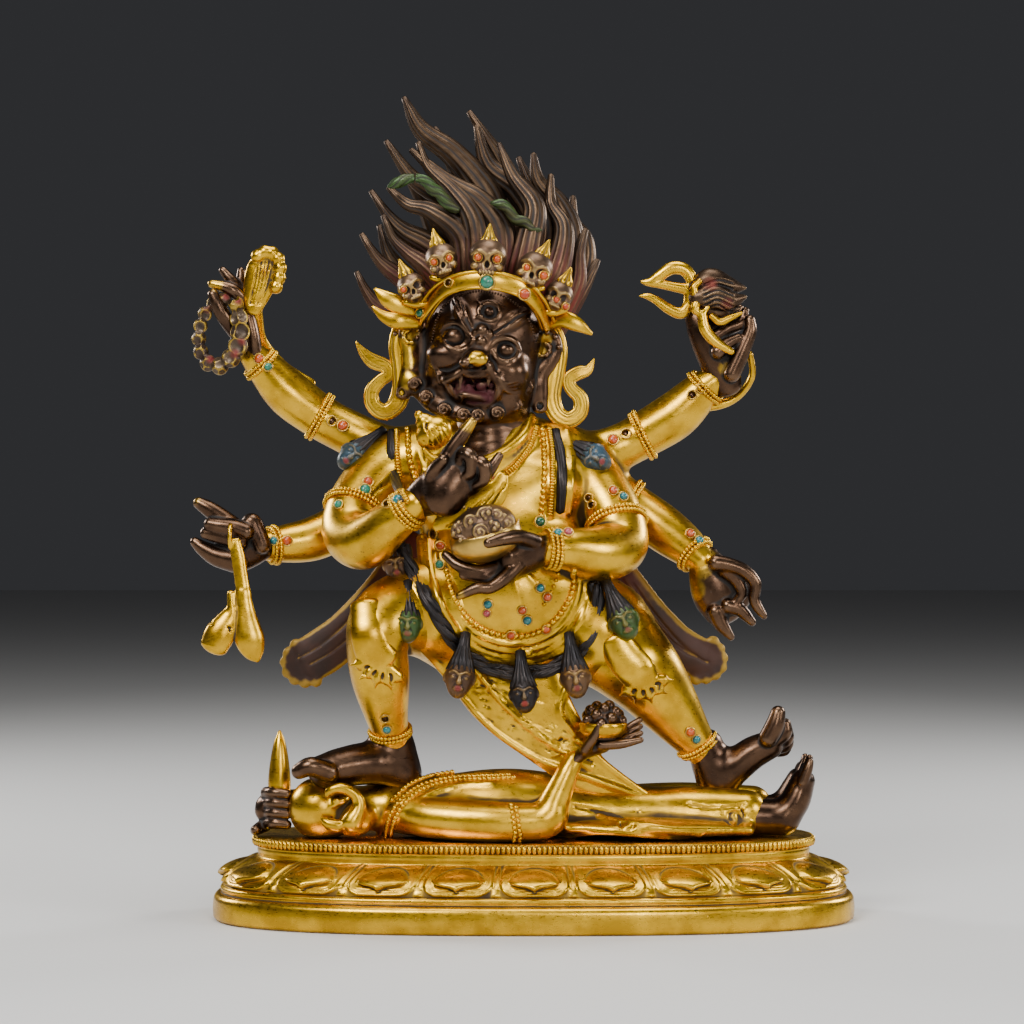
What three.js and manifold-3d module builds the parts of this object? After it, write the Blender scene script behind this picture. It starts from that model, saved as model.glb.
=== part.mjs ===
// A six-armed mahakala figure in gilt copper alloy, striding on a prone elephant-headed figure
// over an oval lotus base.
// Millimetres, +Z up. The viewer stands at -Y. The origin is the middle of the base's flat underside.
import * as THREE from "three";
import { mergeVertices } from "three/addons/utils/BufferGeometryUtils.js";
import Module from "manifold-3d";

const wasm = await Module();
wasm.setup();

// Driving dimensions of the lotus base
const BASE_LENGTH = 255.6;
const BASE_DEPTH = 118;
const FOOT_BAND = 10.8;
const FOOT_FILLET = 3.4;
const PETAL_BAND = 10.8;
const NECK_BAND = 4.2;
const RIM_BAND = 3.8;
const FILLET_INSET = 3.5;
const NECK_INSET = 18;
const RIM_INSET = 14.4;
const PETAL_REACH = 11.5;
const PETALS = 20;
const OVAL_POWER = 2.6;
const EDGE_ROUND = 2.4;
const BASE_HEIGHT = FOOT_BAND + FOOT_FILLET + PETAL_BAND + NECK_BAND + RIM_BAND;

// The figures keep their pose as shares of their own height above the lotus
const FIGURE_HEIGHT = 296;
const POSE_HEIGHT = 296;
const SHARE = FIGURE_HEIGHT / POSE_HEIGHT;
const PIECE_GAP = 0.3;
const MERGE_WITHIN = 0.2;

// Sizes of the repeated trimmings
const STONE_RADIUS = 2.1;
const COLLET_WALL = 0.9;
const RING_TUBE = 0.9;
const RING_RADIUS = 4.2;
const FINGER_RADIUS = 2.5;

const GILT = { color: 0xd9a43a, roughness: 0.3, metalness: 1 };
const CORAL = { color: 0xd8491c, roughness: 0.35, metalness: 0 };
const TURQUOISE = { color: 0x3fae8c, roughness: 0.45, metalness: 0 };

// Solids

function solidOf(geometry) {
  const bare = geometry.clone();
  bare.deleteAttribute("normal");
  bare.deleteAttribute("uv");
  const merged = mergeVertices(bare, 1e-4);
  return new wasm.Manifold(
    new wasm.Mesh({
      numProp: 3,
      tolerance: MERGE_WITHIN,
      vertProperties: merged.attributes.position.array,
      triVerts: new Uint32Array(merged.index.array),
    }),
  );
}

function geometryOf(solid) {
  const mesh = solid.getMesh();
  const geometry = new THREE.BufferGeometry();
  geometry.setAttribute("position", new THREE.BufferAttribute(new Float32Array(mesh.vertProperties), 3));
  geometry.setIndex(new THREE.BufferAttribute(mesh.triVerts, 1));
  geometry.computeVertexNormals();
  return geometry;
}

const join = (solids) => wasm.Manifold.union(solids);

// Rings of points closed into one skin, with a pole at each end.
function skin(rings, firstPole, lastPole) {
  const sides = rings[0].length;
  const points = [firstPole, ...rings.flat(), lastPole];
  const at = (ring, side) => 1 + ring * sides + (side % sides);
  const faces = [];
  for (let s = 0; s < sides; s++) {
    faces.push(0, at(0, s + 1), at(0, s));
    faces.push(points.length - 1, at(rings.length - 1, s), at(rings.length - 1, s + 1));
    for (let r = 0; r < rings.length - 1; r++) {
      faces.push(at(r, s), at(r, s + 1), at(r + 1, s));
      faces.push(at(r, s + 1), at(r + 1, s + 1), at(r + 1, s));
    }
  }
  const geometry = new THREE.BufferGeometry();
  geometry.setAttribute("position", new THREE.Float32BufferAttribute(points.flatMap((p) => p.toArray()),
    3));
  geometry.setIndex(faces);
  return solidOf(geometry);
}

// A limb, lock, finger or ribbon: stations are [x, y, z, radius] in pose millimetres above the lotus.
// wide is the direction of the broad side, flat the thickness as a share of the breadth, dome the bulge
// of each end, grow the clearance added all round.
function limb(stations, { sides = 7, flat = 1, wide = [1, 0, 0], dome = 0.35, grow = 0 } = {}) {
  const line = new THREE.CatmullRomCurve3(stations.map(([x, y, z]) => new THREE.Vector3(x, y, z)));
  const spans = stations.length - 1;
  const rings = [];
  const poles = [];
  for (let i = 0; i <= spans; i++) {
    const radius = stations[i][3] * SHARE + grow;
    const centre = line.getPoint(i / spans).multiplyScalar(SHARE);
    const along = line.getTangent(i / spans);
    const broad = new THREE.Vector3(...wide);
    broad.addScaledVector(along, -broad.dot(along)).normalize();
    const thin = new THREE.Vector3().crossVectors(along, broad);
    const ring = [];
    for (let s = 0; s < sides; s++) {
      const angle = ((s + 0.5) / sides) * 2 * Math.PI;
      const point = centre.clone().addScaledVector(broad, radius * Math.cos(angle));
      ring.push(point.addScaledVector(thin, (radius - grow) * flat * Math.sin(angle) + grow * Math.sin(angle)));
    }
    rings.push(ring);
    if (i === 0) poles.push(centre.clone().addScaledVector(along, -radius * dome));
    if (i === spans) poles.push(centre.clone().addScaledVector(along, radius * dome));
  }
  return skin(rings, poles[0], poles[1]);
}

// An ellipsoid with its own half sizes, tilted about the viewer's line of sight by lean degrees.
function lump([x, y, z], [rx, ry, rz], { lean = 0, around = 8, up = 5, grow = 0 } = {}) {
  const geometry = new THREE.SphereGeometry(1, around, up);
  geometry.scale(rx * SHARE + grow, ry * SHARE + grow, rz * SHARE + grow);
  geometry.rotateY((lean * Math.PI) / 180);
  geometry.translate(x * SHARE, y * SHARE, z * SHARE);
  return solidOf(geometry);
}

// A form of eight faces, for what is smaller still.
function gem([x, y, z], [rx, ry, rz]) {
  const geometry = new THREE.OctahedronGeometry(1, 0);
  geometry.scale(rx * SHARE, ry * SHARE, rz * SHARE);
  geometry.translate(x * SHARE, y * SHARE, z * SHARE);
  return solidOf(geometry);
}

// A small bead-like form of few faces, such as a severed head or a skull.
function pebble([x, y, z], [rx, ry, rz], lean = 0) {
  const geometry = new THREE.OctahedronGeometry(1, 1);
  geometry.scale(rx * SHARE, ry * SHARE, rz * SHARE);
  geometry.rotateY((lean * Math.PI) / 180);
  geometry.translate(x * SHARE, y * SHARE, z * SHARE);
  return solidOf(geometry);
}

// The lotus base

// A point of the base's oval outline, moved inwards by inset.
function ovalPoint(turn, inset, z) {
  const angle = turn * 2 * Math.PI;
  const c = Math.cos(angle);
  const s = Math.sin(angle);
  const half = (length) => length / 2 - inset;
  const round = (v) => Math.sign(v) * Math.abs(v) ** (2 / OVAL_POWER);
  return new THREE.Vector3(half(BASE_LENGTH) * round(c), half(BASE_DEPTH) * round(s), z);
}

// The turn at which a share of the oval's girth is reached, so that petals have equal widths.
function evenTurns(count) {
  const fine = 2000;
  const inset = NECK_INSET / 2;
  const girth = [0];
  for (let i = 1; i <= fine; i++) {
    const step = ovalPoint(i / fine, inset, 0).distanceTo(ovalPoint((i - 1) / fine, inset, 0));
    girth.push(girth[i - 1] + step);
  }
  const turns = [];
  for (let i = 0, k = 0; i < count; i++) {
    while (girth[k] < (girth[fine] * i) / count) k++;
    turns.push(k / fine);
  }
  return turns;
}

function ovalSolid(profile, columns) {
  const turns = evenTurns(columns);
  const rings = profile.map(({ z, inset, wave }) =>
    turns.map((turn, i) => ovalPoint(turn, typeof wave === "function" ? inset - wave(i) : inset, z)),
  );
  const low = profile[0].z;
  const high = profile[profile.length - 1].z;
  return skin(rings, new THREE.Vector3(0, 0, low), new THREE.Vector3(0, 0, high));
}

function lotusBase() {
  const filletTop = FOOT_BAND + FOOT_FILLET;
  const petalTop = filletTop + PETAL_BAND;
  const rimLow = petalTop + NECK_BAND;
  const core = ovalSolid(
    [
      { z: 0, inset: EDGE_ROUND / 2 },
      { z: EDGE_ROUND, inset: 0 },
      { z: FOOT_BAND - EDGE_ROUND, inset: 0 },
      { z: FOOT_BAND, inset: EDGE_ROUND },
      { z: FOOT_BAND, inset: FILLET_INSET },
      { z: filletTop, inset: FILLET_INSET },
      { z: petalTop, inset: NECK_INSET },
      { z: rimLow, inset: NECK_INSET },
      { z: rimLow, inset: RIM_INSET + EDGE_ROUND / 2 },
      { z: rimLow + RIM_BAND / 2, inset: RIM_INSET },
      { z: BASE_HEIGHT, inset: RIM_INSET + EDGE_ROUND / 2 },
    ],
    32,
  );
  // Three columns to a petal: the groove beside it and its two lobes
  const swell = (depths) => (column) => depths[column % depths.length];
  const petalBase = NECK_INSET + 4;
  const petals = ovalSolid(
    [
      { z: FOOT_BAND + FOOT_FILLET / 2, inset: petalBase },
      { z: filletTop - 0.4, inset: petalBase, wave: swell([14, 17, 17]) },
      { z: filletTop + PETAL_BAND * 0.4, inset: petalBase, wave: swell([13, 18.6, 18.6]) },
      { z: petalTop - 0.6, inset: petalBase, wave: swell([5, PETAL_REACH, PETAL_REACH]) },
      { z: petalTop, inset: petalBase },
    ],
    PETALS * 3,
  );
  return join([core, petals]);
}

// The prone elephant-headed figure

const PRONE_ARM = [[-46, -22, 10, 8], [-20, -31, 7, 7.4], [4, -32, 8, 6.2], [9, -31, 20, 5.2],
  [15, -30, 32, 4]];

function proneFigure(grow = 0) {
  const g = { grow };
  const foot = { sides: 5, wide: [0, 1, 0], ...g };
  const parts = [
    lump([-85, -14, 9.5], [11, 12, 11], { around: 7, up: 5, ...g }),
    lump([-69, -26, 7.5], [5.6, 5, 5.6], { around: 5, up: 4, ...g }),
    limb([[-74, -21, 7, 5.4], [-63, -25, 12, 2.6], [-68, -27, 17, 2.2], [-75, -28, 14.5, 1.4]],
      { sides: 4, ...g }),
    limb([[-73, -22, 3, 2.6], [-81, -30, 7.4, 1.2]], { sides: 4, ...g }),
    limb([[-78, -14, 9, 9], [-58, -13, 11, 9.5], [-36, -12, 12, 15], [0, -11, 12, 14.4], [40, -8, 9, 13]],
      { sides: 8, flat: 0.82, wide: [0, 1, 0], ...g }),
    limb(PRONE_ARM, { sides: 5, ...g }),
    limb([[15, -30, 33, 4.2], [28, -30, 37, 5]], { sides: 5, flat: 0.6, wide: [0, 1, 0], ...g }),
    limb([[26, -32, 37, 2], [42, -32, 39.5, 1.3]], { sides: 4, ...g }),
    limb([[26, -28, 38, 2], [39, -27, 46, 1.3]], { sides: 4, ...g }),
    lump([27, -30, 44], [9, 8.4, 7.6], { around: 7, up: 4, ...g }),
    lump([26, -30, 49], [7, 6.6, 6.4], { around: 5, up: 4, ...g }),
    limb([[32, -12, 8, 9.5], [86, -11, 9, 8.8]], { sides: 7, ...g }),
    limb([[32, 5, 10, 9], [88, 7, 11, 7.6]], { sides: 6, ...g }),
    limb([[84, -11, 7, 5.4], [99, -12, 6, 5.8], [107, -12, 21, 4.8], [109, -12, 29, 2.8]], foot),
    limb([[86, 6, 9, 5], [98, 6, 9, 5.6], [105, 6, 21, 4.4], [107, 6, 27, 2.8]], foot),
    limb([[-52, 2, 13, 6.4], [-76, 8, 13, 5.2], [-103, -4, 13, 5]], { sides: 5, ...g }),
    lump([-105, -5, 11], [6.4, 5.5, 8.5], { around: 5, up: 4, ...g }),
    limb([[-101, -8, 12, 2.4], [-101, -8, 20, 4.6], [-101, -6, 41, 0.8]], { sides: 5, ...g }),
    limb([[14, -18, 3, 8], [48, -22, 2.4, 12], [84, -18, 2.4, 8]],
      { sides: 4, flat: 0.3, wide: [0, 1, 0], ...g }),
  ];
  const below = new THREE.BoxGeometry(BASE_LENGTH * 2, BASE_DEPTH * 2, FIGURE_HEIGHT);
  below.translate(0, 0, PIECE_GAP - grow - FIGURE_HEIGHT / 2);
  return join(parts).subtract(solidOf(below));
}

// The striding figure

const ARMS = {
  upperLeft: [[-44, 6, 149, 10], [-76, 8, 161, 9.2], [-98, 6, 176, 10], [-107, 4, 186, 8],
    [-112, 2, 191, 5.4]],
  upperRight: [[6, 6, 145, 10], [34, 8, 155, 9.2], [57, 6, 167, 10.4], [67, 4, 176, 8.4],
    [72, 2, 180, 5.4]],
  lowerLeft: [[-42, 7, 140, 9.5], [-72, 8, 126, 9.4], [-88, 4, 118, 9.8], [-99, 0, 116, 8.4],
    [-108, -4, 115, 5.4]],
  lowerRight: [[6, 6, 146, 9.5], [34, 8, 135, 9.1], [51, 4, 122, 10.2], [61, 0, 114, 8.8],
    [67, -4, 109, 5.8]],
  mainLeft: [[-46, 0, 149, 14], [-66, -10, 129, 11], [-67, -19, 118, 10.6], [-60, -31, 118, 10],
    [-46, -42, 131, 6]],
  mainRight: [[12, 0, 149, 14], [28, -10, 128, 11], [29, -19, 115, 10.6], [20, -31, 113, 10],
    [4, -40, 114, 6.4]],
};

const LEGS = {
  left: [[-22, 0, 78, 21], [-42, -14, 84, 18], [-59, -28, 82, 14.5], [-59, -25, 58, 11],
    [-57, -20, 42, 7.4], [-52, -15, 26, 7.6]],
  right: [[6, 0, 80, 21], [27, -8, 77, 18], [43, -12, 65, 15], [57, -9, 47, 11], [66, -6, 35, 6.6],
    [71, -3, 22, 7]],
};

// Each hand: its palm, the palm's broad direction and its fingers
const HANDS = [
  {
    palm: [[-46, -42, 131, 6], [-29, -48, 145, 8.2]],
    wide: [0.65, 0, -0.75],
    fingers: [
      [[-36, -48, 147, 3.4], [-30, -50, 155, 2.9], [-24, -52, 163, 1.6]],
      [[-30, -49, 149, 3.2], [-24, -53, 152, 3.1], [-22, -52, 147, 2.6]],
      [[-26, -49, 145, 3.2], [-20, -53, 147, 3], [-19, -52, 142, 2.5]],
      [[-25, -48, 139, 3], [-19, -51, 143, 2.6], [-13, -52, 149, 1.5]],
    ],
  },
  {
    palm: [[4, -40, 114, 6.6], [-12, -46, 109, 7.2]],
    wide: [0.2, -0.6, 0.8],
    fingers: [
      [[-2, -48, 115, 3.2], [-11, -53, 117, 2.8], [-20, -56, 117, 1.7]],
      [[-10, -49, 107, 3], [-16, -52, 101, 2.6], [-28, -54, 100, 1.6]],
      [[-13, -47, 107, 3], [-24, -49, 106, 2.6], [-33, -46, 110, 1.6]],
    ],
  },
  {
    palm: [[-112, 2, 190, 5.4], [-116, 2, 213, 6.6]],
    wide: [0.3, -1, 0],
    fingers: [
      [[-117, -3, 197, 3], [-122, -7, 204, 2.6], [-126, -9, 214, 1.4]],
      [[-116, -1, 214, 2.8], [-122, -2, 218, 2.3], [-129, -3, 219, 1.3]],
      [[-116, 2, 215, 2.6], [-121, 1, 220, 2.2], [-124, 0, 226, 1.3]],
    ],
  },
  {
    palm: [[72, 2, 180, 5.6], [75, 0, 199, 7]],
    wide: [0.8, -0.4, 0.2],
    fingers: [
      [[80, -3, 188, 3], [84, -6, 197, 2.5], [86, -6, 206, 1.5]],
      [[74, 3, 202, 2.6], [80, 5, 208, 2.1], [85, 5, 212, 1.3]],
      [[71, 0, 202, 3.4], [65, 0, 209, 2.6], [63, -1, 215, 1.6]],
    ],
  },
  {
    palm: [[-108, -4, 115, 5.6], [-123, -9, 113, 7]],
    wide: [0, -0.3, 1],
    fingers: [
      [[-110, -9, 117, 3], [-109, -14, 123, 3]],
      [[-118, -9, 119, 3], [-125, -11, 127, 2.5], [-133, -12, 133, 1.5]],
      [[-113, -9, 119, 3], [-116, -17, 120, FINGER_RADIUS], [-123, -17.5, 120, FINGER_RADIUS],
        [-128, -15, 118, 1.8]],
      [[-120, -10, 112, 3], [-130, -13, 113, 2.5], [-135, -14, 115, 1.6]],
    ],
  },
  {
    palm: [[67, -4, 109, 6], [77, -7, 94, 7.6]],
    wide: [1, 0, 0.5],
    fingers: [
      [[74, -8, 107, 3], [84, -13, 108, 2.8], [90, -14, 96, 1.6]],
      [[78, -9, 95, 3], [85, -12, 92, 2.4], [92, -12, 86, 1.3]],
      [[76, -7, 92, 3], [77, -6, 85, 2.4], [80, -4, 79, 1.3]],
    ],
  },
];

// Locks of the flaming hair, root first
const LOCKS = [
  [[-12, 0, 222, 8], [-18, 3, 254, 7], [-44, 4, 281, 4.6], [-52, 4, 294, 1]],
  [[0, 2, 220, 8], [0, 4, 250, 7], [-20, 6, 270, 4], [-23, 6, 284, 1]],
  [[9, 4, 215, 8], [11, 7, 246, 6.4], [0, 8, 272, 1]],
  [[10, 5, 208, 6.4], [19, 8, 230, 5.4], [17, 9, 244, 3.4], [16, 10, 255, 0.9]],
  [[6, 4, 200, 6], [17, 5, 218, 4], [26, 6, 230, 0.9]],
  [[-18, 3, 228, 8], [-32, 1, 252, 6.4], [-48, 0, 261, 4], [-59, 0, 276, 0.9]],
  [[-14, -8, 222, 8], [-18, -6, 249, 6.6], [-40, -4, 263, 3.6], [-49, -4, 272, 0.8]],
  [[-26, -8, 220, 7], [-30, -8, 241, 6], [-50, -5, 249, 3.2], [-58, -4, 257, 0.9]],
  [[-28, 0, 220, 7.4], [-54, 0, 240, 4.4], [-65, 0, 256, 0.9]],
  [[-36, 3, 210, 6.6], [-58, 3, 226, 4.2], [-69, 2, 240, 0.8]],
  [[-38, 5, 203, 6], [-62, 4, 210, 4.4], [-71, 4, 225, 0.9]],
  [[-30, 14, 205, 9], [-38, 15, 244, 7], [-52, 12, 270, 1]],
  [[-14, 17, 205, 11], [-18, 17, 250, 8], [-38, 13, 282, 1]],
  [[2, 15, 203, 9], [7, 16, 238, 6.4], [2, 13, 264, 1]],
];

// The skulls of the crown and the severed heads of the garland, each [x, y, z, radius, lean]
const CROWN_SKULLS = [[-48, -16, 218, 5.4, -30], [-36, -22, 231, 6.4, -14], [-18, -26, 230, 7.2, 0],
  [1, -23, 227, 6.6, 16], [10, -15, 216, 5.2, 32]];
const GARLAND_HEADS = [
  [-72, -2, 151, 6.6, 40], [22, -8, 150, 6.6, -50], [-54, -24, 108, 6.6, -10], [-48, -34, 85, 7, 0],
    [-29, -35, 66, 7, 8],
  [-4, -37, 58, 7, -5], [16, -34, 65, 7, -8], [34, -30, 86, 7, -25], [31, -18, 103, 6.6, -60],
];

const GARLAND_ROPE = [
  [-52, -12, 150, 3], [-47, -25, 120, 3], [-38, -34, 86, 3.2], [-20, -37, 68, 3.2], [2, -37, 65, 3.2],
  [22, -32, 82, 3.2], [26, -25, 112, 3], [13, -14, 152, 3],
];

function body() {
  const trunk = [[-9, 4, 72, 24], [-8, -4, 88, 34], [-8, -6, 106, 35], [-10, -5, 124, 31.5],
    [-14, -1, 148, 33], [-17, 0, 161, 25], [-20, -3, 168, 13], [-21, -4, 182, 12]];
  const parts = [limb(trunk, { sides: 10, flat: 0.86 })];
  for (const arm of Object.values(ARMS)) {
    parts.push(limb(arm, { sides: 5, wide: [0, 1, 0.2] }));
  }
  for (const leg of Object.values(LEGS)) {
    parts.push(limb(leg, { sides: 6, wide: [0, 1, 0.2] }));
  }
  for (const { palm, wide, fingers } of HANDS) {
    parts.push(limb(palm, { sides: 6, flat: 0.6, wide }));
    const sides = palm[0][1] < -10 ? 4 : 3;
    for (const finger of fingers) parts.push(limb(finger, { sides, wide: [0, 1, 0.3], dome: 0.8 }));
  }
  return parts;
}

function feet() {
  const wide = [0, 1, 0];
  const instep = { sides: 5, flat: 0.85, wide };
  const toe = { sides: 4, wide };
  const parts = [
    limb([[-46, -12, 26, 6], [-62, -17, 29, 9], [-82, -23, 27, 7.4]], instep),
    limb([[69, -3, 20, 5.6], [82, -5, 31, 8], [95, -7, 41, 6.6]], instep),
  ];
  for (let k = 0; k < 3; k++) {
    const across = k * 4.8;
    const girth = 3.2;
    parts.push(limb([[-82, -16.5 - across, 27, girth], [-91, -17.5 - across, 28, girth * 0.8]], toe));
    parts.push(limb([[94, -1.5 - across * 0.9, 40, girth],
      [98.4, -1.5 - across * 0.9, 49, girth * 0.8]], toe));
  }
  return parts;
}

function head() {
  const lean = 8;
  const parts = [
    lump([-20, -5, 196], [24.5, 22, 27], { lean, around: 10, up: 6 }),
    pebble([-24, -11, 178], [18.5, 16, 13], lean),
    gem([-22, -28, 191], [5, 7, 6]),
    pebble([-34, -23, 186], [8, 7, 7]),
    pebble([-11, -23, 184], [8, 7, 7]),
    gem([-34, -24, 200], [5.4, 6, 5]),
    gem([-9, -24, 197], [5.4, 6, 5]),
    limb([[-43, -17, 209, 2], [-24, -28, 201, 2.8]], { sides: 4 }),
    limb([[-1, -17, 208, 2], [-18, -28, 201, 2.8]], { sides: 4 }),
    limb([[-45, -7, 206, 3.4], [-49, -5, 195, 4.4], [-49, -6, 176, 3]],
      { sides: 5, flat: 0.5, wide: [1, 0.6, 0] }),
    limb([[3, -7, 203, 3.4], [7, -5, 192, 4.4], [6, -6, 172, 3]],
      { sides: 5, flat: 0.5, wide: [1, -0.6, 0] }),
  ];
  parts.push(limb([[-44, -8, 178, 3], [-40, -17, 169, 3.6], [-25, -23, 164, 3.6], [-8, -17, 167, 3.6],
    [-3, -8, 176, 3]], { sides: 4 }));
  const mouth = lump([-25, -27, 177], [9.5, 6, 5.5], { lean: 12, around: 8, up: 4 });
  return { parts, mouth };
}

function hairAndCrown() {
  const parts = [lump([-16, 5, 222], [27, 15, 24], { lean: -12, around: 8, up: 5 })];
  for (const lock of LOCKS) parts.push(limb(lock, { sides: 4, flat: 0.7, wide: [1, 0, 0.4] }));
  const band = [[-45, -8, 204, 3.4], [-40, -20, 214, 3.4], [-26, -27, 220, 3.4], [-12, -28, 219, 3.4],
    [1, -20, 212, 3.4], [7, -9, 202, 3.4]];
  parts.push(limb(band, { sides: 4, flat: 0.6, wide: [0.15, 0, 1] }));
  for (const [x, y, z, r, lean] of CROWN_SKULLS) {
    const tilt = (lean * Math.PI) / 180;
    const off = (d, girth) => [x + d * Math.sin(tilt), y, z + d * Math.cos(tilt), girth];
    parts.push(limb([off(-r * 1.7, r * 0.6), off(r * 0.3, r), off(r * 1.3, r * 0.5), off(r * 2.1, 0.5)],
      { sides: 5 }));
  }
  parts.push(limb([[-44, -8, 207, 2.8], [-54, -9, 209, 3.6], [-62, -9, 215, 1]],
    { sides: 4, flat: 0.5, wide: [0, 0, 1] }));
  parts.push(limb([[6, -8, 203, 2.8], [13, -9, 204, 3.6], [22, -9, 198, 1]],
    { sides: 4, flat: 0.5, wide: [0, 0, 1] }));
  return parts;
}

function scarves() {
  const left = [[-44, -5, 206, 4], [-53, -4, 188, 4.6], [-55, -3, 170, 4.4], [-65, -3, 171, 4],
    [-59, -4, 184, 3.6], [-70, -4, 197, 0.8]];
  const right = [[4, -5, 204, 4], [10, -4, 188, 4.6], [9, -3, 170, 4.4], [19, -3, 169, 4],
    [12, -4, 182, 3.6], [23, -4, 193, 0.8]];
  return [left, right].map((line) => limb(line, { sides: 4, flat: 0.5, wide: [0.7, 0, 0.7] }));
}

// The direction across a ribbon that runs in the viewer's plane is found from its own line.
function flatLimb(stations, options = {}) {
  const [first, last] = [stations[0], stations[stations.length - 1]];
  const across = [last[2] - first[2], 0, first[0] - last[0]];
  return limb(stations, { sides: 6, wide: across, ...options });
}

function skinsAndCloth() {
  const paw = { sides: 6, flat: 0.5, wide: [1, 0, 0.3] };
  return [
    flatLimb([[-16, -16, 84, 24], [-8, -22, 58, 20], [6, -22, 38, 14], [24, -20, 22, 8],
      [48, -18, 14, 1.6]], { flat: 0.18 }),
    limb([[-9, 2, 84, 31], [-8, 2, 66, 25]], { sides: 8, flat: 0.76 }),
    limb([[-28, -16, 90, 17], [-54, -32, 86, 13.5], [-58, -37, 74, 8.4], [-56, -38, 66, 8.6]], paw),
    limb([[10, -14, 84, 16], [30, -22, 70, 13], [43, -23, 62, 8.4]],
      { sides: 6, flat: 0.5, wide: [0.7, 0, 1] }),
    flatLimb([[-36, 16, 120, 12], [-66, 14, 93, 8.4], [-84, 12, 78, 9.6], [-99, 10, 68, 8]],
      { flat: 0.24 }),
    flatLimb([[10, 16, 122, 12], [38, 14, 96, 9], [56, 12, 79, 9.6], [74, 10, 68, 8]], { flat: 0.24 }),
    limb([[-14, 15, 153, 28], [-13, 18, 118, 33.5], [-12, 13, 58, 14]], { sides: 6, flat: 0.28 }),
    limb([[-92, 12, 178, 6], [-113, 5, 196, 4.8], [-108, -5, 220, 7.4], [-106, -6, 231, 5.6]],
      { sides: 5, flat: 0.5, wide: [1, 0, 0] }),
    limb([[56, 12, 170, 6], [74, 9, 179, 4.6], [87, 5, 194, 3.4], [80, 1, 208, 4.6]],
      { sides: 5, flat: 0.5, wide: [0, 1, 0.3] }),
    limb([[62, -3, 216, 3], [70, -4, 217, 7.4], [78, -4, 214, 8], [86, -4, 217, 4]],
      { sides: 5, flat: 0.5, wide: [0, 0, 1] }),
  ];
}

function heldThings() {
  const rosary = new THREE.TorusGeometry(10.5, 3.4, 4, 12);
  rosary.rotateX(Math.PI / 2);
  rosary.scale(0.8, 1, 1.15);
  rosary.translate(-122, -4, 199);
  rosary.scale(SHARE, SHARE, SHARE);
  return [
    solidOf(rosary),
    lump([-20, -50, 119], [13, 11, 8.6], { lean: -16, around: 8, up: 5 }),
    lump([-20, -50, 125], [11, 9.5, 8], { lean: -16, around: 7, up: 4 }),
    limb([[-36, -42, 122, 4], [-26, -43, 126, 8.4], [-15, -43, 135, 8], [-8, -42, 144, 2.4]],
      { sides: 5, flat: 0.3, wide: [0.7, 0, -0.7] }),
    limb([[-30, -44, 142, 3.2], [-41, -38, 163, 4.4], [-43, -37, 170, 1.4]], { sides: 5 }),
    limb([[66, -4, 213, 2.8], [66, -4, 224, 2.4], [54, -4, 222, 2.2], [46, -4, 219, 1.2]], { sides: 4 }),
    limb([[66, -4, 216, 2.6], [48, -4, 217, 1.4]], { sides: 4 }),
    limb([[66, -4, 214, 2.8], [61, -4, 206, 2.4], [42, -4, 214, 1]], { sides: 4 }),
  ];
}

// The garland's severed heads hang from the rope by their hair, so each is one drop-shaped form.
function garland() {
  const parts = [limb(GARLAND_ROPE, { sides: 3 })];
  for (const [x, y, z, r, lean] of GARLAND_HEADS) {
    const tilt = (lean * Math.PI) / 180;
    const off = (d, girth, back = 0) => [x + d * Math.sin(tilt), y + back, z + d * Math.cos(tilt), girth];
    parts.push(limb([off(r * 2.8, 1.6, 6), off(r * 0.4, r, 1), off(-r * 0.8, r * 0.6)], { sides: 5 }));
  }
  return parts;
}

// The hand drum, which hangs by its ring from a finger

const RING_CENTRE = [-119, -17.4, 120 - (RING_RADIUS - RING_TUBE - FINGER_RADIUS) + 0.3];

function drumRing(grow = 0) {
  const ring = new THREE.TorusGeometry(RING_RADIUS * SHARE, RING_TUBE * SHARE + grow, 4, 10);
  ring.rotateY(Math.PI / 2);
  ring.translate(...RING_CENTRE.map((v) => v * SHARE));
  return solidOf(ring);
}

function handDrum() {
  const top = RING_CENTRE[2] - RING_RADIUS;
  return join([
    drumRing(),
    limb([[-118, -18, top - 1, 2.2], [-115, -21, 96, 3.2], [-112, -22, 84, 5.6], [-108.5, -22, 74, 4.2]],
      { sides: 5, flat: 0.6 }),
    limb([[-115, -21, 96, 3], [-120, -22, 88, 5], [-125, -22, 77, 5.8]], { sides: 5, flat: 0.7 }),
  ]);
}

// The set stones: where each sits, the way it faces and what it is
const STONES = [
  { name: "crown_turquoise", at: [-17, -31.5, 220], face: [0, -1, 0.1], stone: TURQUOISE },
  { name: "crown_coral", at: [-2, -27, 214.5], face: [0.4, -1, 0.2], stone: CORAL },
  { name: "crown_green_stone", at: [-43.5, -19, 208], face: [-0.5, -1, 0], stone: TURQUOISE },
  { name: "belly_green_stone", at: [-10, -34, 84], face: [0, -1, -0.3], stone: TURQUOISE },
];

const turnTo = (face) =>
  new THREE.Quaternion().setFromUnitVectors(new THREE.Vector3(0, 1, 0),
    new THREE.Vector3(...face).normalize());

function stoneSolid({ at, face }, grow = 0) {
  const geometry = new THREE.SphereGeometry(STONE_RADIUS + grow, 6, 4);
  geometry.applyQuaternion(turnTo(face));
  geometry.translate(...at.map((v) => v * SHARE));
  return solidOf(geometry);
}

function colletSolid({ at, face }) {
  const depth = STONE_RADIUS * 2.6;
  const way = new THREE.Vector3(...face).normalize();
  const geometry = new THREE.CylinderGeometry(STONE_RADIUS + COLLET_WALL, STONE_RADIUS + COLLET_WALL, depth, 6);
  geometry.applyQuaternion(turnTo(face));
  const centre = new THREE.Vector3(...at).multiplyScalar(SHARE).addScaledVector(way, -depth / 2);
  geometry.translate(centre.x, centre.y, centre.z);
  return solidOf(geometry);
}

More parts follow.
